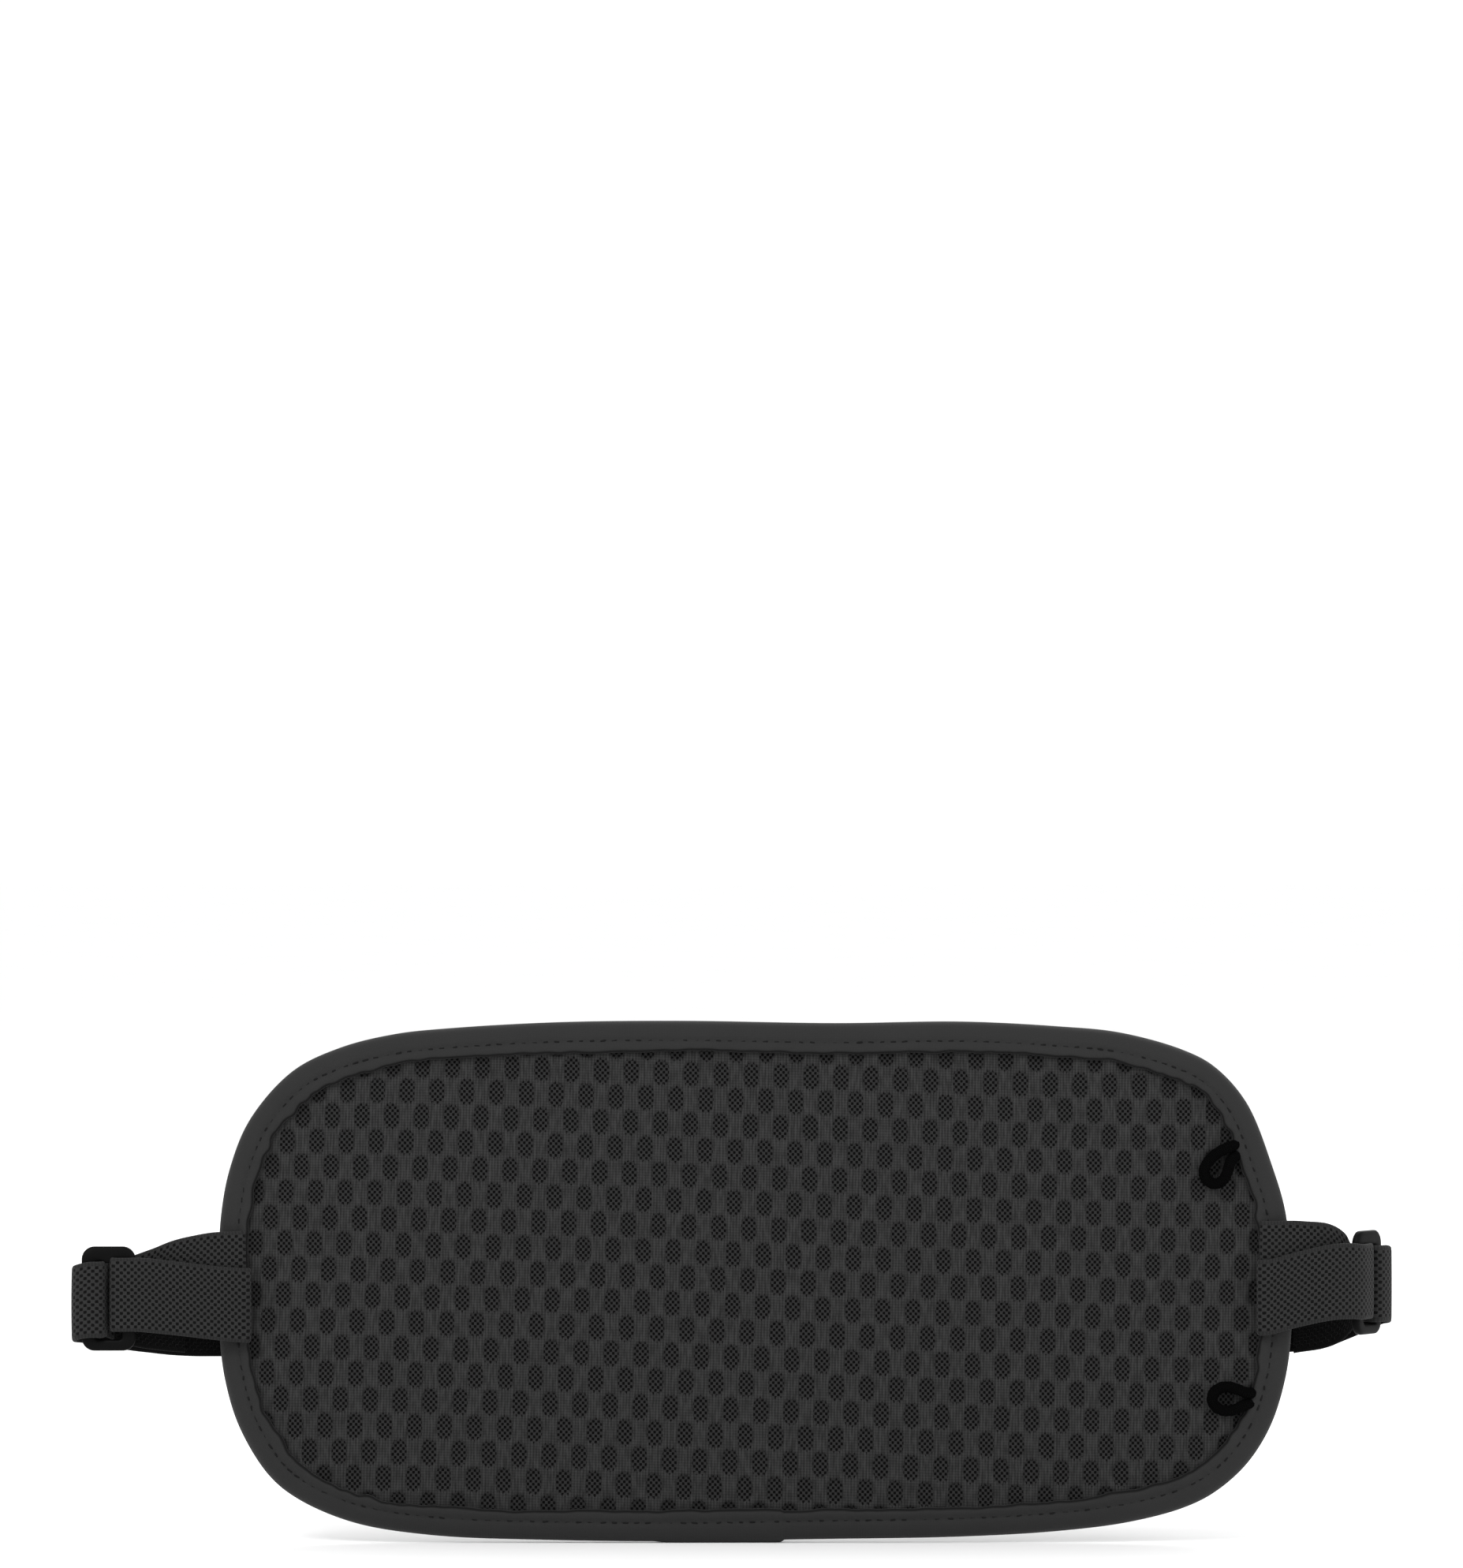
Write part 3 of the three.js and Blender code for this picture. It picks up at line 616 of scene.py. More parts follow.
def make_cord_loop(name):
    first, last = CORD_ROOTS[name]
    middle = [(x, CORD_Y, z) for x, z in CORD_LOOPS[name]]
    points = [*first[::-1], *middle, *last]
    line = respaced(relaxed(respaced(spline(points), 150), 25), 150)
    along = lengths(line)
    ahead = tangents(line)
    out = np.cross(ahead, (0, 1, 0))
    out /= np.linalg.norm(out, axis=1, keepdims=True)
    up = np.cross(out, ahead)
    sides = 20
    turn = np.arange(sides) * TAU / sides
    ring = np.cos(turn)[None, :, None] * out[:, None] + np.sin(turn)[None, :, None] * up[:, None]
    radius = np.full((len(line), sides), CORD_DIAMETER / 2 + 0.08)
    braid = np.sin(TAU * along / 2.2)[:, None] * np.cos(2 * turn)[None, :]
    fuzz = wobble((line[:, None] + ring * 1.15).reshape(-1, 3), 0.45, 3).reshape(radius.shape)
    radius += 0.05 * braid + 0.16 * fuzz
    tube = line[:, None] + ring * radius[:, :, None]
    around = np.linspace(0, TAU * CORD_DIAMETER / 2, sides + 1)
    mesh = grid_mesh(name, tube, along, around, close_columns=True, caps=True)
    loop = link(f"{name}_braid", mesh, materials["elastic_cord"])
    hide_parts(name)
    fixed, free = CORD_BENDS[name]
    tuple(np.array(fixed) * MM)
    tuple(np.array(free) * MM)
    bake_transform(loop)


# ---- Air mesh panel ----

MESH_STEP = 0.55
MESH_CROWN = 1.0
PIT_DEPTH = 0.8


def mesh_pattern(x, z):
    """The knit's own coordinates: its rows run slightly uphill and drift a little across the panel."""
    u = 0.977 * x - 0.016 * z - 1.97 + 0.07 * (x / 10) * (z / 100) + 0.28 * (x / 100) ** 3
    v = 0.987 * z + 0.034 * x + 6.35 + 1.3 * (z / 100) ** 2 - 0.66 * (x / 100) ** 3
    return u, v + 0.15 * np.sin(x / 16) * np.cos(z / 19)


def hole_reach(u, v):
    """How far out a point is in the nearest hole's oval: 1 on its rim."""
    across = np.abs((u + HOLE_PITCH_X / 2) % HOLE_PITCH_X - HOLE_PITCH_X / 2)
    up = np.abs((v + HOLE_PITCH_Z) % (2 * HOLE_PITCH_Z) - HOLE_PITCH_Z)
    ovals = [
        (a / HOLE_HALF_WIDTH) ** HOLE_POWER + (b / HOLE_HALF_HEIGHT) ** HOLE_POWER
        for a, b in ((across, up), (HOLE_PITCH_X / 2 - across, HOLE_PITCH_Z - up))
    ]
    return np.minimum(*ovals)


def make_mesh_panel():
    low, high = edge_line.min(axis=0), edge_line.max(axis=0)
    xs = np.arange(low[0], high[0] + MESH_STEP, MESH_STEP)
    zs = np.arange(low[1], high[1] + MESH_STEP, MESH_STEP)
    gx, gz = np.meshgrid(xs, zs, indexing="ij")
    shape = gx.shape
    x, z = gx.ravel(), gz.ravel()
    inside = distance_inside(x, z)
    u, v = mesh_pattern(x, z)
    share = np.clip((1.25 - hole_reach(u, v)) / 0.8, 0, 1)
    pit = share * share * (3 - 2 * share)
    rise = 1 - np.exp(-np.clip(inside - 7, 0, None) / 14)
    ripple = 0.25 * wobble(np.stack([x, z, z * 0], axis=1), 23, 1)
    y = 0.75 - (0.75 + MESH_CROWN) * rise + PIT_DEPTH * pit + ripple * rise
    keep = inside > 5.2
    front = np.stack([x, y, z], axis=1)
    back = np.stack([x, np.full_like(x, 2.7), z], axis=1)
    faces, _, _ = grid_faces(*shape)
    faces = faces[keep[faces].all(axis=1)]
    used, faces = np.unique(faces, return_inverse=True)
    faces = faces.reshape(-1, 4)
    count = len(used)
    edges = np.concatenate([faces[:, [k, (k + 1) % 4]] for k in range(4)])
    seen = {tuple(e) for e in edges.tolist()}
    rim = np.array([e for e in seen if (e[1], e[0]) not in seen])
    walls = np.stack([rim[:, 1], rim[:, 0], rim[:, 0] + count, rim[:, 1] + count], axis=1)
    all_faces = np.vstack([faces, faces[:, ::-1] + count, walls])
    vertices = np.vstack([front[used], back[used]])
    pattern = np.tile(np.stack([u[used], v[used]], axis=1), (2, 1))
    mesh = raw_mesh("back_mesh_panel", vertices, all_faces, pattern[all_faces.ravel()])
    panel = link("air_mesh_panel", mesh, materials["air_mesh"])
    settle(panel, "pouch", "air_mesh", "back_mesh_panel")


# ---- Edge binding ----

BINDING_WIDTH = 7.3
STITCH_INSET = 4.7
STITCH_PITCH = 3.0
# The folded tape's outer face, as (inset from the edge, y) from the mesh side round to the zip side.
BINDING_FACE = [
    (7.75, 0.05), (7.6, -0.6), (7.2, -1.1), (6.4, -1.32), (5.5, -1.1), (4.7, -0.75), (4.0, -0.75),
    (3.1, -0.6), (1.6, 0.0), (0.4, 1.1), (-0.3, 3.1),
    (0.4, 5.3), (1.6, 6.4), (3.1, 6.95), (4.0, 7.1), (4.7, 7.1), (5.4, 7.35), (6.2, 7.5), (6.95, 7.45),
    (7.3, 7.1),
]
BINDING_SAMPLES = 44
TAPE_THICKNESS = 0.65
# The tape's two ends overlap at the bottom, from the end underneath to the turned-in end on top.
OVERLAP_FROM = -26.0
OVERLAP_TO = 7.4


def corner_share():
    """0 along the straight edges and 1 in the tight corners, at each point of the edge."""
    ahead = tangents(edge_line, closed=True)
    turn = np.linalg.norm(np.roll(ahead, -8, axis=0) - np.roll(ahead, 8, axis=0), axis=1)
    bend = turn / (16 * edge_along[1])
    return np.clip(bend / 0.02, 0, 1)


def overlap_share(x, z):
    """1 where the tape's end lies over its start, rising gently at the far end and stepping at the near."""
    low = z < 0
    gentle = np.clip((x - OVERLAP_FROM) / 5, 0, 1)
    step = np.clip((OVERLAP_TO - x) / 0.5, 0, 1)
    return low * gentle * step


def make_binding():
    face = respaced(spline(BINDING_FACE), BINDING_SAMPLES)
    sections = tangents(face)
    normal = np.stack([sections[:, 1], -sections[:, 0]], axis=1)
    inner = face + normal * TAPE_THICKNESS
    rows, columns = EDGE_COUNT, len(face)
    along = edge_along[:-1]
    corner = corner_share()
    over = overlap_share(edge_line[:, 0], edge_line[:, 1])
    spots = np.stack([edge_line[:, 0], edge_line[:, 1], np.zeros(rows)], axis=1)
    scallop = wobble(spots, 14, 2) * (0.5 + 0.7 * corner) + wobble(spots, 4.5, 4) * (0.3 + 0.8 * corner)
    pucker = wobble(spots, 6, 6) * (0.2 + 0.5 * corner)
    crease = wobble(spots, 2.2, 8) * (0.05 + 0.2 * corner)
    stitch_wave = 0.5 + 0.5 * np.cos(TAU * along / STITCH_PITCH)
    points = np.empty((rows, 2 * columns, 3))
    for k in range(columns):
        inset, y = face[k]
        side = -1 if y < 3.1 else 1
        reach = np.clip((inset - 3.0) / (BINDING_WIDTH - 3.0), 0, 1)
        dip = 0.28 * math.exp(-(((inset - STITCH_INSET) / 0.6) ** 2)) * (0.35 + 0.65 * stitch_wave)
        lift = ((pucker + crease) * reach * side - dip * side) + 0.35 * over * side * min(1, inset / 2)
        shift = scallop * reach**2 - 0.55 * over * (1 - min(1, inset / 3)) + 0.5 * over * reach
        line = edge_inset(inset + shift)
        under = edge_inset(inner[k, 0] + shift)
        points[:, k] = np.stack([line[:, 0], y + lift, line[:, 1]], axis=1)
        points[:, 2 * columns - 1 - k] = np.stack([under[:, 0], inner[k, 1] + lift, under[:, 1]], axis=1)
    across = np.concatenate([lengths(face), lengths(face)[::-1] + 60, [0]])
    mesh = grid_mesh("edge_binding", points, edge_along, across, close_rows=True, close_columns=True)
    binding = link("binding_tape", mesh, materials["binding_tape"])
    settle(binding, "pouch", "binding_tape", "edge_binding")


# ---- Stitches ----


def capsule(length, radius, sides=6):
    """A short thread along +X with round ends, as points and quads."""
    profile = [(-0.5, 0.02), (-0.46, 0.6), (-0.36, 1), (0, 1.1), (0.36, 1), (0.46, 0.6), (0.5, 0.02)]
    turn = np.arange(sides) * TAU / sides
    points = np.array(
        [[(t * length, r * radius * math.cos(a), r * radius * math.sin(a)) for a in turn] for t, r in profile]
    )
    faces, _, _ = grid_faces(len(profile), sides, close_columns=True)
    return points.reshape(-1, 3), faces


def stitches(name, spots, directions, outward, length=1.7, radius=0.25):
    """A run of stitches: one thread at each (x, y, z) spot, along its (x, z) direction, sunk unevenly
    into the cloth whose outward side is -1 towards the mesh side or +1 towards the zip side."""
    shape, faces = capsule(length, radius)
    places = []
    for spot, (dx, dz) in zip(spots, directions):
        stretch = rng.uniform(0.65, 1.0)
        slant = rng.uniform(-0.15, 0.15)
        sunk = rng.uniform(0, 0.2) * -outward

        def put(points, spot=spot, dx=dx, dz=dz, stretch=stretch, slant=slant, sunk=sunk):
            x, y, z = points.T
            x, z = x * stretch, z + slant * x
            turned = spot[0] + x * dx - z * dz, spot[1] + y + sunk, spot[2] + x * dz + z * dx
            return np.stack(turned, axis=1)

        places.append(put)
    obj = link(name, joined_copies(name, shape, faces, places), materials["thread"])
    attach(obj, "pouch")
    return obj


def make_binding_stitches():
    total = edge_along[-1]
    count = int(total / STITCH_PITCH)
    at = (np.arange(count) + 0.5) * total / count
    line = edge_inset(STITCH_INSET)
    ahead = tangents(edge_line, closed=True)
    index = np.clip((at / total * EDGE_COUNT).astype(int), 0, EDGE_COUNT - 1)
    over = overlap_share(line[index, 0], line[index, 1])
    for name, y, side in (("mesh_side_stitches", -0.62, -1), ("zip_side_stitches", 6.98, 1)):
        spots = np.stack([line[index, 0], y + 0.35 * side * over, line[index, 1]], axis=1)
        stitches(name, spots, ahead[index], side)


# ---- Webbing ----

WEBBING_THICKNESS = 1.5
LEFT_RING = {"x": -167.1, "y": -1.9, "z": -4.2, "turn": math.pi}
RIGHT_RING = {"x": 158.7, "y": 8.4, "z": -0.5, "turn": math.pi / 3}
STRAP_Y = 30.0
STRAP_Z = -9.0
SOCKET_BAR_X = -18.0
PLUG_BAR_X = 25.8
ADJUSTER_X = 62.0


def on_ring(ring, mirror, points):
    """Points in a ring's own axes: u from the pouch's bar to the strap's bar, v to its outer side."""
    along = (math.cos(ring["turn"]), math.sin(ring["turn"]))
    across = (math.sin(ring["turn"]) * mirror, -math.cos(ring["turn"]) * mirror)
    return [
        (ring["x"] + along[0] * u + across[0] * v, ring["y"] + along[1] * u + across[1] * v, z)
        for u, v, z in points
    ]


def tab_turn(ring, mirror, z):
    turn = [(-8, 2.6), (-4.6, 2.6), (-1.6, 2.1), (-1.0, 0), (-1.7, -1.6), (-4.6, -2.45)]
    return on_ring(ring, mirror, [(u, v, z) for u, v in turn])


def strap_turn(ring, mirror, slot_z, fold_z, slack=0.0):
    between = (slot_z + fold_z) / 2
    turn = [
        (0.9, -2.4, slot_z), (1.25, 0, slot_z), (2.2 - slack, 2.4, slot_z), (5, 3.2, slot_z),
        (7.9, 2.5, between), (8.95, 0, fold_z),
    ]
    return on_ring(ring, mirror, turn)


def bar_turn(x, side):
    turn = [(-0.6, 2.4), (2.2, 1.9), (3.1, 0), (2.2, -1.9), (-0.6, -2.4)]
    return [(x + side * dx, STRAP_Y + dy, STRAP_Z) for dx, dy in turn]


LEFT_TAB = [
    (-133.4, -1.75, -5.9), (-131.5, -1.9, -5.9), (-130.9, -2.9, -5.9), (-131.8, -3.9, -5.9),
    (-134.2, -4.0, -5.7), (-139, -3.95, -5.3), (-150, -4.3, -4.0),
    *tab_turn(LEFT_RING, -1, -3.1),
    (-156.5, 0, -1.2), (-150.5, -1.2, 1.2), (-141, -2.1, 3.2), (-134, -2.2, 3.6), (-132.8, -1.95, 3.7),
    (-132.2, -1.4, 3.7),
]
RIGHT_TAB = [
    (132.8, -1.75, -3.9), (130.9, -1.9, -3.9), (130.3, -2.9, -3.9), (131.2, -3.9, -3.9),
    (133.6, -4.0, -3.6), (140, -4.4, -1.8), (149, -4, 0.1), (154.5, -2, 0.3),
    *tab_turn(RIGHT_RING, 1, 0.0),
    (152.4, 2.6, 2.9), (148.2, -0.2, 5.3), (141, -2.1, 6.1), (134, -2.2, 6.1), (131.6, -1.95, 6.1),
    (131.0, -1.4, 6.1),
]
LEFT_STRAP = [
    (-148, 8.2, -8.9), (-158, 4.9, -7.7), (-164.5, 2.9, -6.1),
    *strap_turn(LEFT_RING, -1, -4.4, -5.6),
    (-174.6, 1.2, -6), (-171, 3, -6.4), (-166, 4.6, -7.5), (-158, 7.1, -8.8), (-148, 10.4, -9.9),
    (-139, 13.2, -10.2), (-120, 18.6, -9.8), (-90, 25.2, -9.3), (-60, 29.6, STRAP_Z),
    (-38, 31, STRAP_Z), (-24, 31.9, STRAP_Z), *bar_turn(SOCKET_BAR_X, 1),
    (-24, 28.1, STRAP_Z), (-36, 28.9, STRAP_Z),
]
# The adjustable side from the right ring to the plug's bar: the CAD bow and flat run in one.
RIGHT_STRAP = [
    (140.5, 19.9, -9.6), (148, 17.7, -8.2), (152.5, 15.6, -6.2), (155.2, 13.2, -3.2),
    *strap_turn(RIGHT_RING, 1, -0.9, -1.8, slack=0.6),
    (160.2, 17.6, -3.2), (155, 18.7, -5.6), (148, 20.3, -8.2), (140, 22.5, -9.4),
    (125, 26.6, -9.3), (112, 29.2, -8.9), (100, STRAP_Y, STRAP_Z), (70, STRAP_Y, STRAP_Z),
    (46, STRAP_Y, STRAP_Z), (41, 30.15, STRAP_Z), (33, 31.4, STRAP_Z),
    *bar_turn(PLUG_BAR_X, -1), (29.5, 27.6, STRAP_Z),
]
RETURN_LAYER = [
    (29.8, 27.6, STRAP_Z), (46, 27.7, STRAP_Z), (ADJUSTER_X + 0.6, 27.8, STRAP_Z),
    (ADJUSTER_X + 2.7, 27.2, STRAP_Z), (ADJUSTER_X + 3.4, 25.8, STRAP_Z),
    (ADJUSTER_X + 2.7, 24.4, STRAP_Z), (ADJUSTER_X + 0.6, 23.8, STRAP_Z),
    (ADJUSTER_X - 5.5, 24.4, STRAP_Z), (ADJUSTER_X - 12, 25.6, STRAP_Z),
]


def webbing_mesh(name, route, seed, width, shaded_side, step=0.45):
    line = spline(route, per_segment=24)
    count = int(lengths(line)[-1] / step)
    line = respaced(line, count)
    along = lengths(line)
    ahead = tangents(line[:, :2])
    across_normal = np.stack([-ahead[:, 1], ahead[:, 0]], axis=1)
    half_width = width / 2 + 0.12 * wobble(line, 8, seed)
    flat = np.sin(np.linspace(-math.pi / 2, math.pi / 2, 45))
    # One side of the section: v across the width, and the half thickness there.
    thick = (WEBBING_THICKNESS / 2) * np.clip(1 - np.abs(flat) ** 24, 0, 1) ** 0.5
    thick = thick * (0.9 + 0.1 * np.cos(flat * math.pi / 2))
    v = np.concatenate([flat, flat[::-1]])
    side = np.concatenate([thick, -thick[::-1]])
    sway = 0.14 * wobble(line, 11, seed + 1)
    points = np.empty((count, len(v), 3))
    for k in range(len(v)):
        bow = 0.12 * v[k] ** 2 * wobble(line, 14, seed + 2)
        offset = side[k] + sway * 0.6 + bow
        points[:, k, 0] = line[:, 0] + across_normal[:, 0] * offset
        points[:, k, 1] = line[:, 1] + across_normal[:, 1] * offset
        points[:, k, 2] = line[:, 2] + v[k] * half_width
    # Painted shade: the face on the shaded side gets its V shifted, so the material paints it near black.
    first_face = np.arange(len(v)) < len(flat)
    shaded_face = (shaded_side < 0) & first_face | (shaded_side > 0) & ~first_face
    across = v * width / 2 + PAINTED_SHADE_SHIFT * shaded_face
    across = np.concatenate([across, across[:1]])
    return grid_mesh(name, points, along, across, close_columns=True, caps=True)


def paint_shade(mesh, inside):
    """Paints the webbing near black as shade, as on its inner face, wherever inside(x, y) holds in
    millimetres.
    """
    uv = mesh.uv_layers["UVMap"].data
    for loop, spot in zip(mesh.loops, uv):
        x, y, _ = mesh.vertices[loop.vertex_index].co / MM
        if inside(x, y) and spot.uv[1] < PAINTED_SHADE_SHIFT / 2:
            spot.uv[1] += PAINTED_SHADE_SHIFT


def make_webbing(name, route, seed, width, shaded_side, *nodes):
    mesh = webbing_mesh(name, route, seed, width, shaded_side)
    webbing = link(name, mesh, materials["elastic_webbing"])
    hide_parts(*nodes)
    return webbing


# Painted shade: the stretches of the straps' short ends by the rings, which paint_shade paints near black.
def in_left_short_end(x, y):
    return -166 < x < -145 and y < 9.3 + 0.33 * (x + 148)


def in_right_short_end(x, y):
    return 138 < x < 157 and 10 < y < 19 - 0.29 * (x - 148)


def make_straps():
    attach(make_webbing("left_tab_webbing", LEFT_TAB, 11, 19.2, 0, "left_tab_loop"), "pouch")
    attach(make_webbing("right_tab_webbing", RIGHT_TAB, 15, 19.6, 0, "right_tab_loop"), "pouch")
    left = make_webbing("left_strap_webbing", LEFT_STRAP, 19, 19.7, 1, "left_waist_strap")
    paint_shade(left.data, in_left_short_end)
    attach(left, "pouch")
    nodes = "right_waist_strap", "right_strap_run"
    right = make_webbing("right_strap_webbing", RIGHT_STRAP, 23, 20.0, -1, *nodes)
    paint_shade(right.data, in_right_short_end)
    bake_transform(right)
    layer = make_webbing("return_layer_webbing", RETURN_LAYER, 27, 20.0, -1, "strap_return_layer")
    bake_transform(layer)


# Rows of stitches that hold each strap's short end: x and y of a row, and its middle's z.
BARTACKS = {
    "left_strap_bartack": [(-150.0, 10.6, -9.7), (-153.0, 9.6, -9.4)],
    "right_strap_bartack": [(146.0, 21.7, -8.6), (149.0, 20.9, -7.9)],
}


def make_bartacks():
    for name, rows in BARTACKS.items():
        spots = [(x, y, middle + step) for x, y, middle in rows for step in np.arange(-7.5, 8, 1.5)]
        stitches(name, spots, [(0, 1)] * len(spots), 1, length=1.5, radius=0.28)


# ---- Rings ----


def rounded_rectangle(width, height, radius, count):
    """Points round a rectangle with round corners, at even turns of its outward direction."""
    turn = np.arange(count) * TAU / count
    corner = np.stack([np.sign(np.cos(turn + 1e-6)), np.sign(np.sin(turn + 1e-6))], axis=1)
    middle = corner * (np.array([width, height]) / 2 - radius)
    return middle + radius * np.stack([np.cos(turn), np.sin(turn)], axis=1)


# A ring's outline and its slot, as width, height and corner radius. The slot sits a little low.
RING_OUTER = (14, 27, 3.4)
RING_SLOT = (6.8, 19.7, 1.0)
RING_SLOT_DROP = 0.7


def make_ring(name, ring):
    count = 96
    outer = rounded_rectangle(*RING_OUTER, count)
    inner = rounded_rectangle(*RING_SLOT, count) - (0, RING_SLOT_DROP)
    sides = 24
    turn = np.arange(sides) * TAU / sides
    # A squarish round section: superellipse from the outer to the inner outline.
    power = 0.62
    across = np.sign(np.cos(turn)) * np.abs(np.cos(turn)) ** power
    depth = np.sign(np.sin(turn)) * np.abs(np.sin(turn)) ** power * 1.15
    middle, half = (outer + inner) / 2, (outer - inner) / 2
    local = np.empty((count, sides, 3))
    local[:, :, 0] = middle[:, None, 0] + half[:, None, 0] * across
    local[:, :, 1] = depth[None, :]
    local[:, :, 2] = middle[:, None, 1] + half[:, None, 1] * across
    c, s = math.cos(ring["turn"]), math.sin(ring["turn"])
    points = np.empty_like(local)
    points[:, :, 0] = ring["x"] + c * local[:, :, 0] - s * local[:, :, 1]
    points[:, :, 1] = ring["y"] + s * local[:, :, 0] + c * local[:, :, 1]
    points[:, :, 2] = ring["z"] + local[:, :, 2]
    u = np.linspace(0, 70, count + 1)
    v = np.linspace(0, 10, sides + 1)
    mesh = grid_mesh(name, points, u, v, close_rows=True, close_columns=True)
    settle(link(f"{name}_moulding", mesh, materials["moulding"]), name, "moulding", name)


# ---- Moulded and metal pieces, rounded from their CAD shapes ----

BUCKLE_WIDTH = 27.0
GRIP_RIBS = (10.9, 12.6, 14.3)
GRIP_FACE = 4.15


def rounded(node, material, voxel, passes, crown=None):
    """A piece in the shape of a CAD node with its edges rounded off, standing for it. crown is given
    its points and gives them back changed."""
    source = frame["nodes"][node]
    obj = bpy.data.objects.new(f"{node}_body", source.data.copy())
    bpy.context.scene.collection.objects.link(obj)
    obj.data.materials.clear()
    weld = obj.modifiers.new("weld", "WELD")
    weld.merge_threshold = 1e-6
    remesh = obj.modifiers.new("remesh", "REMESH")
    remesh.mode = "VOXEL"
    remesh.voxel_size = voxel * MM
    smooth = obj.modifiers.new("smooth", "SMOOTH")
    smooth.factor = 0.5
    smooth.iterations = passes
    bpy.context.view_layer.update()
    graph = bpy.context.evaluated_depsgraph_get()
    mesh = bpy.data.meshes.new_from_object(obj.evaluated_get(graph), depsgraph=graph)
    obj.modifiers.clear()
    obj.data = mesh
    mesh.materials.append(materials[material])
    if crown:
        spots = np.empty(len(mesh.vertices) * 3, np.float32)
        mesh.vertices.foreach_get("co", spots)
        spots = crown(spots.reshape(-1, 3) / MM) * MM
        mesh.vertices.foreach_set("co", spots.ravel().astype(np.float32))
        mesh.update()
    mesh.shade_smooth()
    return settle(obj, source["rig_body"], material, node)


def crowned(middle_x, half_length):
    """Thins a buckle half towards its sides and its ends."""

    def shape(points):
        x, y, z = points.T
        side = np.clip(np.abs(z - STRAP_Z) / (BUCKLE_WIDTH / 2), 0, 1)
        end = np.clip(np.abs(x - middle_x) / half_length, 0, 1)
        scale = 1 - 0.26 * side**4 - 0.14 * end**4
        waist = 1 - 0.05 * np.exp(-(((x - middle_x) / 4) ** 2)) * side**2
        return np.stack([x, STRAP_Y + (y - STRAP_Y) * scale, STRAP_Z + (z - STRAP_Z) * waist], axis=1)

    return shape


def make_grip_ribs():
    """Ribs across the plug's base, on both faces."""
    shape, faces = capsule(15.0, 0.42, sides=10)
    places = []
    for x in GRIP_RIBS:
        for face in (-1, 1):

            def put(points, x=x, face=face):
                along, out, across = points.T
                return np.stack([x + across, STRAP_Y + face * GRIP_FACE + out, STRAP_Z + along], axis=1)

            places.append(put)
    mesh = joined_copies("plug_grip_ribs", shape, faces, places)
    settle(link("plug_grip_ribs", mesh, materials["moulding"]), "buckle_plug", "moulding")


def make_hardware():
    for name, ring in (("left_ring", LEFT_RING), ("right_ring", RIGHT_RING)):
        make_ring(name, ring)
    rounded("buckle_socket", "moulding", 0.25, 7, crowned(-1.7, 10.7))
    rounded("buckle_plug", "moulding", 0.25, 6)
    rounded("upper_prong", "moulding", 0.2, 5)
    rounded("lower_prong", "moulding", 0.2, 5)
    rounded("strap_adjuster", "moulding", 0.22, 6)
    make_grip_ribs()
    for zip_name in ZIP_HEIGHTS:
        rounded(f"{zip_name}_slider", "zip_metal", 0.12, 4)
        rounded(f"{zip_name}_puller", "zip_metal", 0.12, 5)
        rounded(f"{zip_name}_left_stop", "zip_metal", 0.12, 4)
        rounded(f"{zip_name}_right_stop", "zip_metal", 0.12, 4)


# ---- Zips ----

ZIP_HEIGHTS = {"main_zip": 48.0, "second_zip": 21.0}
ZIP_WINDOW = 5.2  # from a zip's middle to the panels on each side of it
ZIP_HALF_LENGTH = 100.0
TOOTH_PITCH = 1.3
TOOTH_RADIUS = 0.36


def tooth():
    """One turn of the coil on the upper side of the chain, seen in (x, y, z) from the chain's line."""
    route = [
        (0.0, 5.75, 2.6), (0.02, 6.5, 2.75), (0.05, 7.15, 2.3), (0.1, 7.2, 1.0), (0.12, 7.15, -0.1),
        (0.2, 6.6, -0.45), (0.35, 6.05, -0.1), (0.5, 5.85, 1.2), (0.62, 5.8, 2.5),
    ]
    line = respaced(spline(route), 18)
    ahead = tangents(line)
    out = np.cross(ahead, (1, 0, 0))
    out /= np.linalg.norm(out, axis=1, keepdims=True)
    up = np.cross(out, ahead)
    turn = np.arange(7) * TAU / 7
    tube = line[:, None] + TOOTH_RADIUS * (
        np.cos(turn)[None, :, None] * out[:, None] + np.sin(turn)[None, :, None] * up[:, None]
    )
    faces, _, _ = grid_faces(len(line), 7, close_columns=True)
    return tube.reshape(-1, 3), faces


def make_coil(zip_name, side):
    """side is +1 for the upper half of the chain and -1 for the lower, which is half a turn along."""
    shape, faces = tooth()
    count = int(2 * ZIP_HALF_LENGTH / TOOTH_PITCH) - 1
    shift = 0.0 if side > 0 else TOOTH_PITCH / 2
    z = ZIP_HEIGHTS[zip_name]
    if side < 0:
        faces = faces[:, ::-1]
    places = []
    for k in range(count):
        x = -ZIP_HALF_LENGTH + 0.6 + k * TOOTH_PITCH + shift

        def put(points, x=x):
            return points * (1, 1, side) + (x, 0, z)

        places.append(put)
    half = "upper" if side > 0 else "lower"
    name = f"{zip_name}_{half}_coil"
    coil = link(f"{name}_teeth", joined_copies(name, shape, faces, places), materials["zip_coil"])
    settle(coil, "pouch", "zip_coil", name)


# ---- Fabric panels of the zip side ----

PANEL_STEP = 1.2
PANEL_INSET = 3.0
PAST_THE_POUCH = 80
TOPSTITCH_OFFSET = 7.4
TOPSTITCH_END = 118
TOPSTITCH_Y = 6.5
SHEET_ROWS = 24


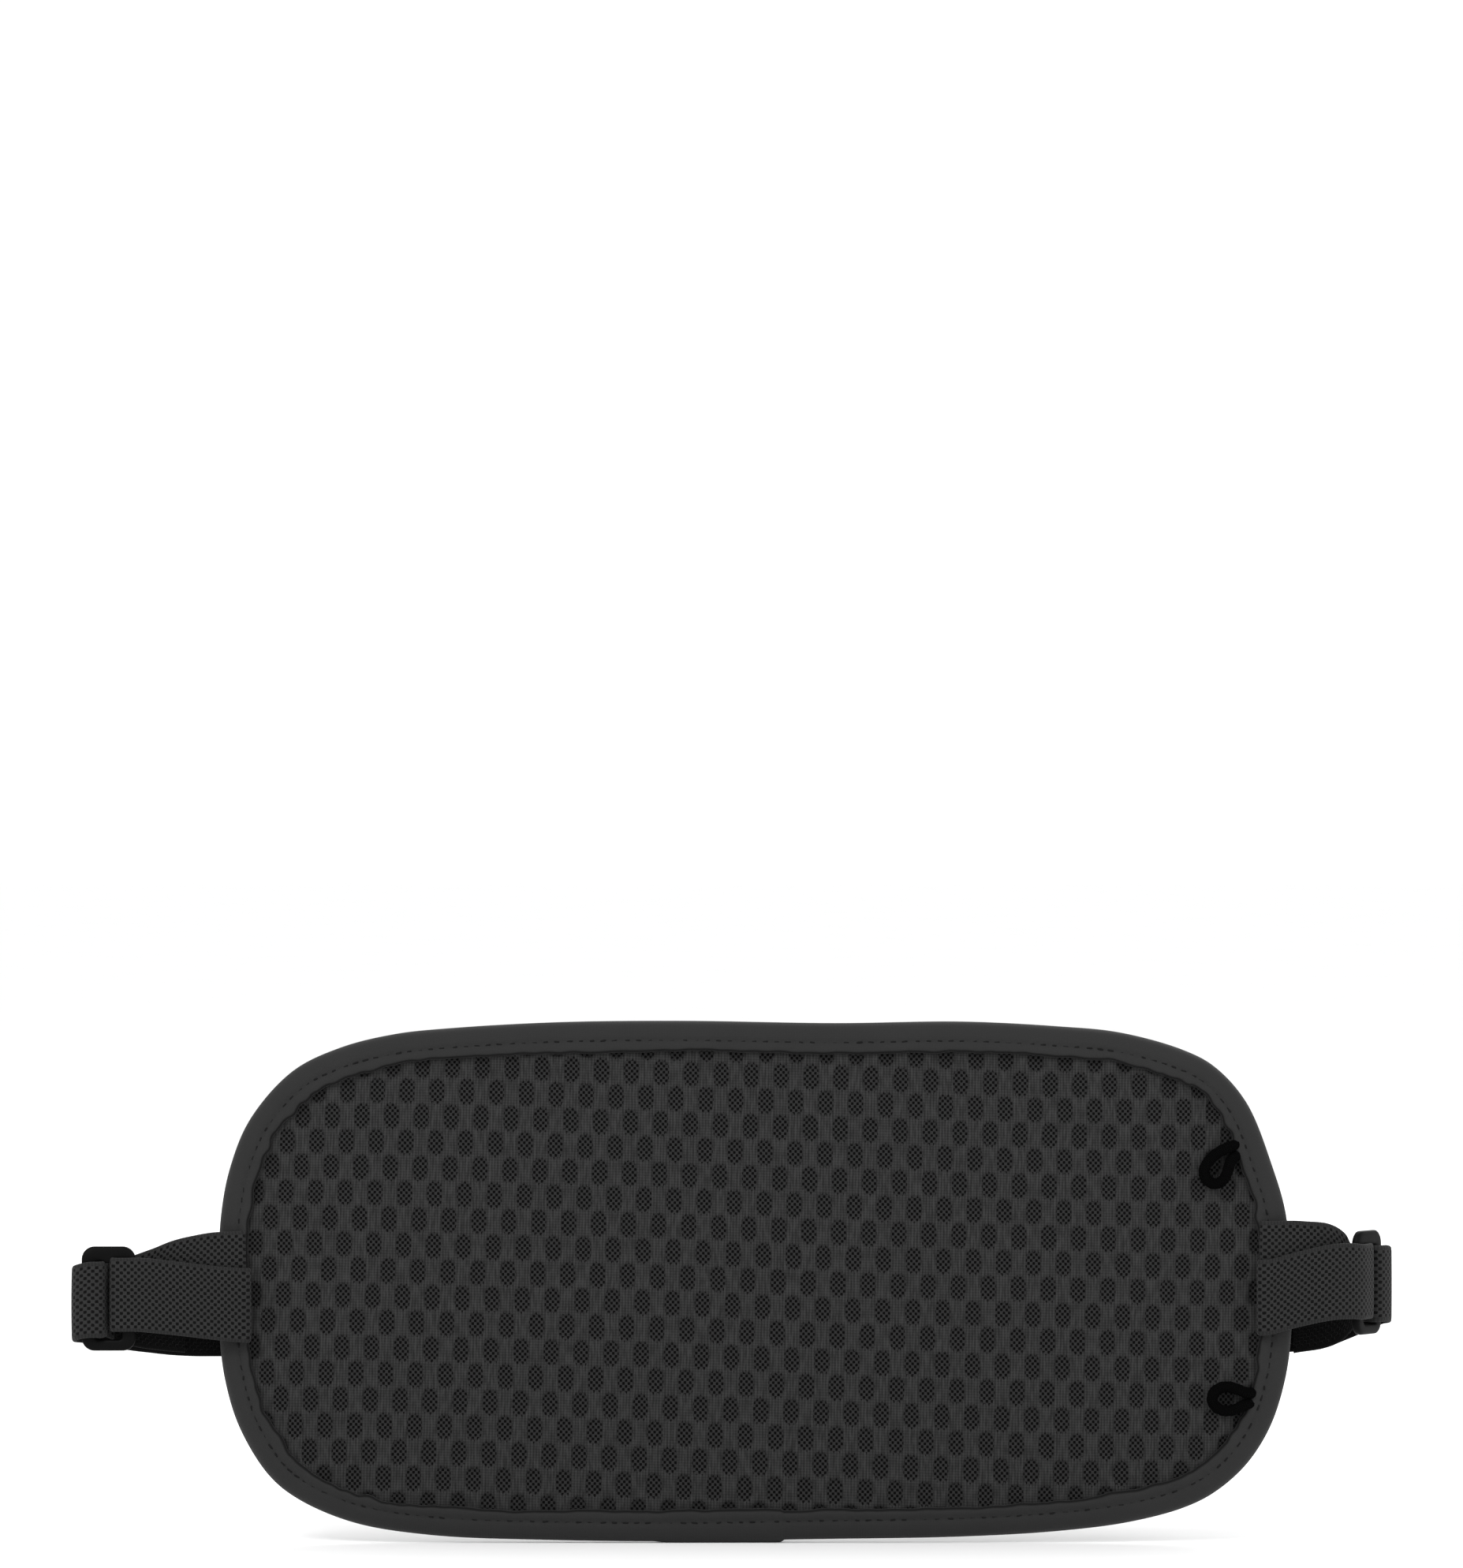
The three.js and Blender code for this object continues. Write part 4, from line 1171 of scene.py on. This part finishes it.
def clipped_sheet(low, high, inset):
    """Heights from one to another, and how far the pouch reaches left and right at each."""
    left_right = []
    zs = np.linspace(low, high, max(SHEET_ROWS, int((high - low) / PANEL_STEP)))
    outline = edge_inset(inset)
    for z in zs:
        crossing = []
        nxt = np.roll(outline, -1, axis=0)
        hit = (outline[:, 1] - z) * (nxt[:, 1] - z) <= 0
        for a, b in zip(outline[hit], nxt[hit]):
            share = (z - a[1]) / (b[1] - a[1]) if b[1] != a[1] else 0
            crossing.append(a[0] + share * (b[0] - a[0]))
        left_right.append((min(crossing), max(crossing)))
    return zs, left_right


def layered(node, slot, xs, zs, outer_y, thickness):
    """A thin closed cloth over a grid of points, standing for a node."""
    front = np.stack([xs, outer_y, zs], axis=2)
    back = np.stack([xs, outer_y - thickness, zs], axis=2)
    ring = np.concatenate([front, back[::-1]]).transpose(1, 0, 2)
    heights = zs[:, 0]
    around = np.concatenate([heights, heights[::-1], heights[:1]])
    mesh = grid_mesh(node, ring, np.arange(xs.shape[1]), around, close_columns=True, caps=True)
    cloth = link(f"{node}_cloth", mesh, materials[slot])
    settle(cloth, "pouch", slot, node)


def pouch_grid(low, high, inset, columns=200):
    zs, spans = clipped_sheet(low, high, inset)
    share = np.linspace(0, 1, columns)
    x = np.array([a + (b - a) * share for a, b in spans])
    return x, np.repeat(zs[:, None], columns, axis=1)


def make_panel(node, low, high, bulge, seed):
    """A front panel from one height to another, flat where it is sewn and full in its middle."""
    top, bottom = edge_inset(PANEL_INSET)[:, 1].max() - 0.3, edge_inset(PANEL_INSET)[:, 1].min() + 0.3
    x, z = pouch_grid(max(low, bottom), min(high, top), PANEL_INSET)
    inside = distance_inside(x.ravel(), z.ravel()).reshape(x.shape)
    below_zip = np.clip((high - z) / (20 if bulge > 1 else 6), 0, 1)  # leaves room for a puller
    above_zip = np.clip((z - low) / 6, 0, 1)
    rise = below_zip * above_zip * np.clip((inside - 7) / 14, 0, 1)
    rise = rise * rise * (3 - 2 * rise)
    flat = np.stack([x.ravel(), z.ravel(), z.ravel() * 0], axis=1)
    folds = wobble(flat, 30, seed) + 0.45 * wobble(flat, 11, seed + 1) + 0.2 * wobble(flat, 5, seed + 2)
    tuck = 0.25 * (np.exp(-(((z - low - 2.2) / 0.6) ** 2)) + np.exp(-(((high - z - 2.2) / 0.6) ** 2)))
    outer_y = 6.4 + bulge * rise + 0.55 * folds.reshape(x.shape) * rise - tuck
    layered(node, "pouch_fabric", x, z, outer_y, 0.6)


def make_inner_layer(node, seed):
    low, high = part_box(node)
    inset = 2.0
    top, bottom = edge_inset(inset)[:, 1].max() - 0.3, edge_inset(inset)[:, 1].min() + 0.3
    x, z = pouch_grid(bottom, top, inset, 80)
    flat = np.stack([x.ravel(), z.ravel(), z.ravel() * 0], axis=1)
    wave = 0.08 * wobble(flat, 25, seed).reshape(x.shape)
    layered(node, "lining", x, z, high[1] / MM - 0.05 + wave, 0.3)


TAPE_TUCK = 0.15  # how far a zip tape goes under each panel's edge


def make_zip_tape(node):
    """A woven tape with a rib along each edge, its ends under the binding."""
    low, high = (np.array(corner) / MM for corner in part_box(node))
    x, z = pouch_grid(low[2] - TAPE_TUCK, high[2] + TAPE_TUCK, PANEL_INSET, 240)
    share = (z - low[2]) / (high[2] - low[2])
    rib = 0.08 * np.cos(share * TAU * 6) * (np.abs(share - 0.5) > 0.3)
    flat = np.stack([x.ravel(), z.ravel(), z.ravel() * 0], axis=1)
    ripple = 0.05 * wobble(flat, 7, 51).reshape(x.shape)
    layered(node, "zip_tape", x, z, high[1] - 0.08 + rib + ripple, 0.36)


def topstitch(name, z):
    length = 2 * TOPSTITCH_END
    count = int(length / STITCH_PITCH)
    x = -TOPSTITCH_END + (np.arange(count) + 0.5) * length / count
    spots = np.stack([x, np.full(count, TOPSTITCH_Y), np.full(count, z)], axis=1)
    stitches(name, spots, np.tile((1.0, 0.0), (count, 1)), 1)


def make_zip_side():
    lower, upper = ZIP_HEIGHTS["second_zip"], ZIP_HEIGHTS["main_zip"]
    make_panel("front_lower_panel", -PAST_THE_POUCH, lower - ZIP_WINDOW, 1.7, 31)
    make_panel("front_middle_panel", lower + ZIP_WINDOW, upper - ZIP_WINDOW, 0.5, 33)
    make_panel("front_top_panel", upper + ZIP_WINDOW, PAST_THE_POUCH, 0.2, 35)
    for zip_name in ZIP_HEIGHTS:
        for side in (1, -1):
            make_coil(zip_name, side)
    for zip_name, height in ZIP_HEIGHTS.items():
        for side, word in ((1, "upper"), (-1, "lower")):
            z = height + side * TOPSTITCH_OFFSET
            topstitch(f"{zip_name}_{word}_topstitch", z)
    for zip_name in ZIP_HEIGHTS:
        for word in ("upper", "lower"):
            make_zip_tape(f"{zip_name}_{word}_tape")
    make_inner_layer("back_lining", 41)
    make_inner_layer("pocket_divider", 43)


# ---- Floor and light ----

FLOOR_Z = -0.0676


def make_stage():
    size = 60.0
    mesh = bpy.data.meshes.new("floor")
    corners = [(-size, -size, FLOOR_Z), (size, -size, FLOOR_Z), (size, size, FLOOR_Z), (-size, size, FLOOR_Z)]
    mesh.from_pydata(corners, [], [(0, 1, 2, 3)])
    link("floor", mesh, floor_material())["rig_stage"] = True


def area_light(name, place, target, size, power):
    data = bpy.data.lights.new(name, "AREA")
    data.shape = "DISK"
    data.size = size
    data.energy = power
    light = bpy.data.objects.new(name, data)
    light.location = place
    light.rotation_euler = (Vector(target) - Vector(place)).to_track_quat("-Z", "Y").to_euler()
    bpy.context.scene.collection.objects.link(light)


def make_light():
    world = bpy.data.worlds.new("world")
    bpy.context.scene.world = world
    world.use_nodes = True
    background = world.node_tree.nodes["Background"]
    background.inputs["Color"].default_value = (1, 1, 1, 1)
    background.inputs["Strength"].default_value = 1.07
    area_light("key", (-0.9, -1.6, 1.5), (0, 0, 0), 0.9, 22)
    area_light("fill", (1.4, -1.3, 0.6), (0, 0, 0), 1.2, 8)
    area_light("back", (0.5, 1.8, 1.3), (0, 0, 0), 1.2, 16)
    view = bpy.context.scene.view_settings
    view.view_transform = "Standard"
    view.look = "None"


make_camera()
for loop_name in CORD_LOOPS:
    make_cord_loop(loop_name)
make_mesh_panel()
make_binding()
make_binding_stitches()
make_straps()
make_hardware()
make_zip_side()
make_bartacks()
make_stage()
make_light()

boxes = {"cad": cad_box, "visual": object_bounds()}
{name: [list(corner) for corner in box] for name, box in boxes.items()}
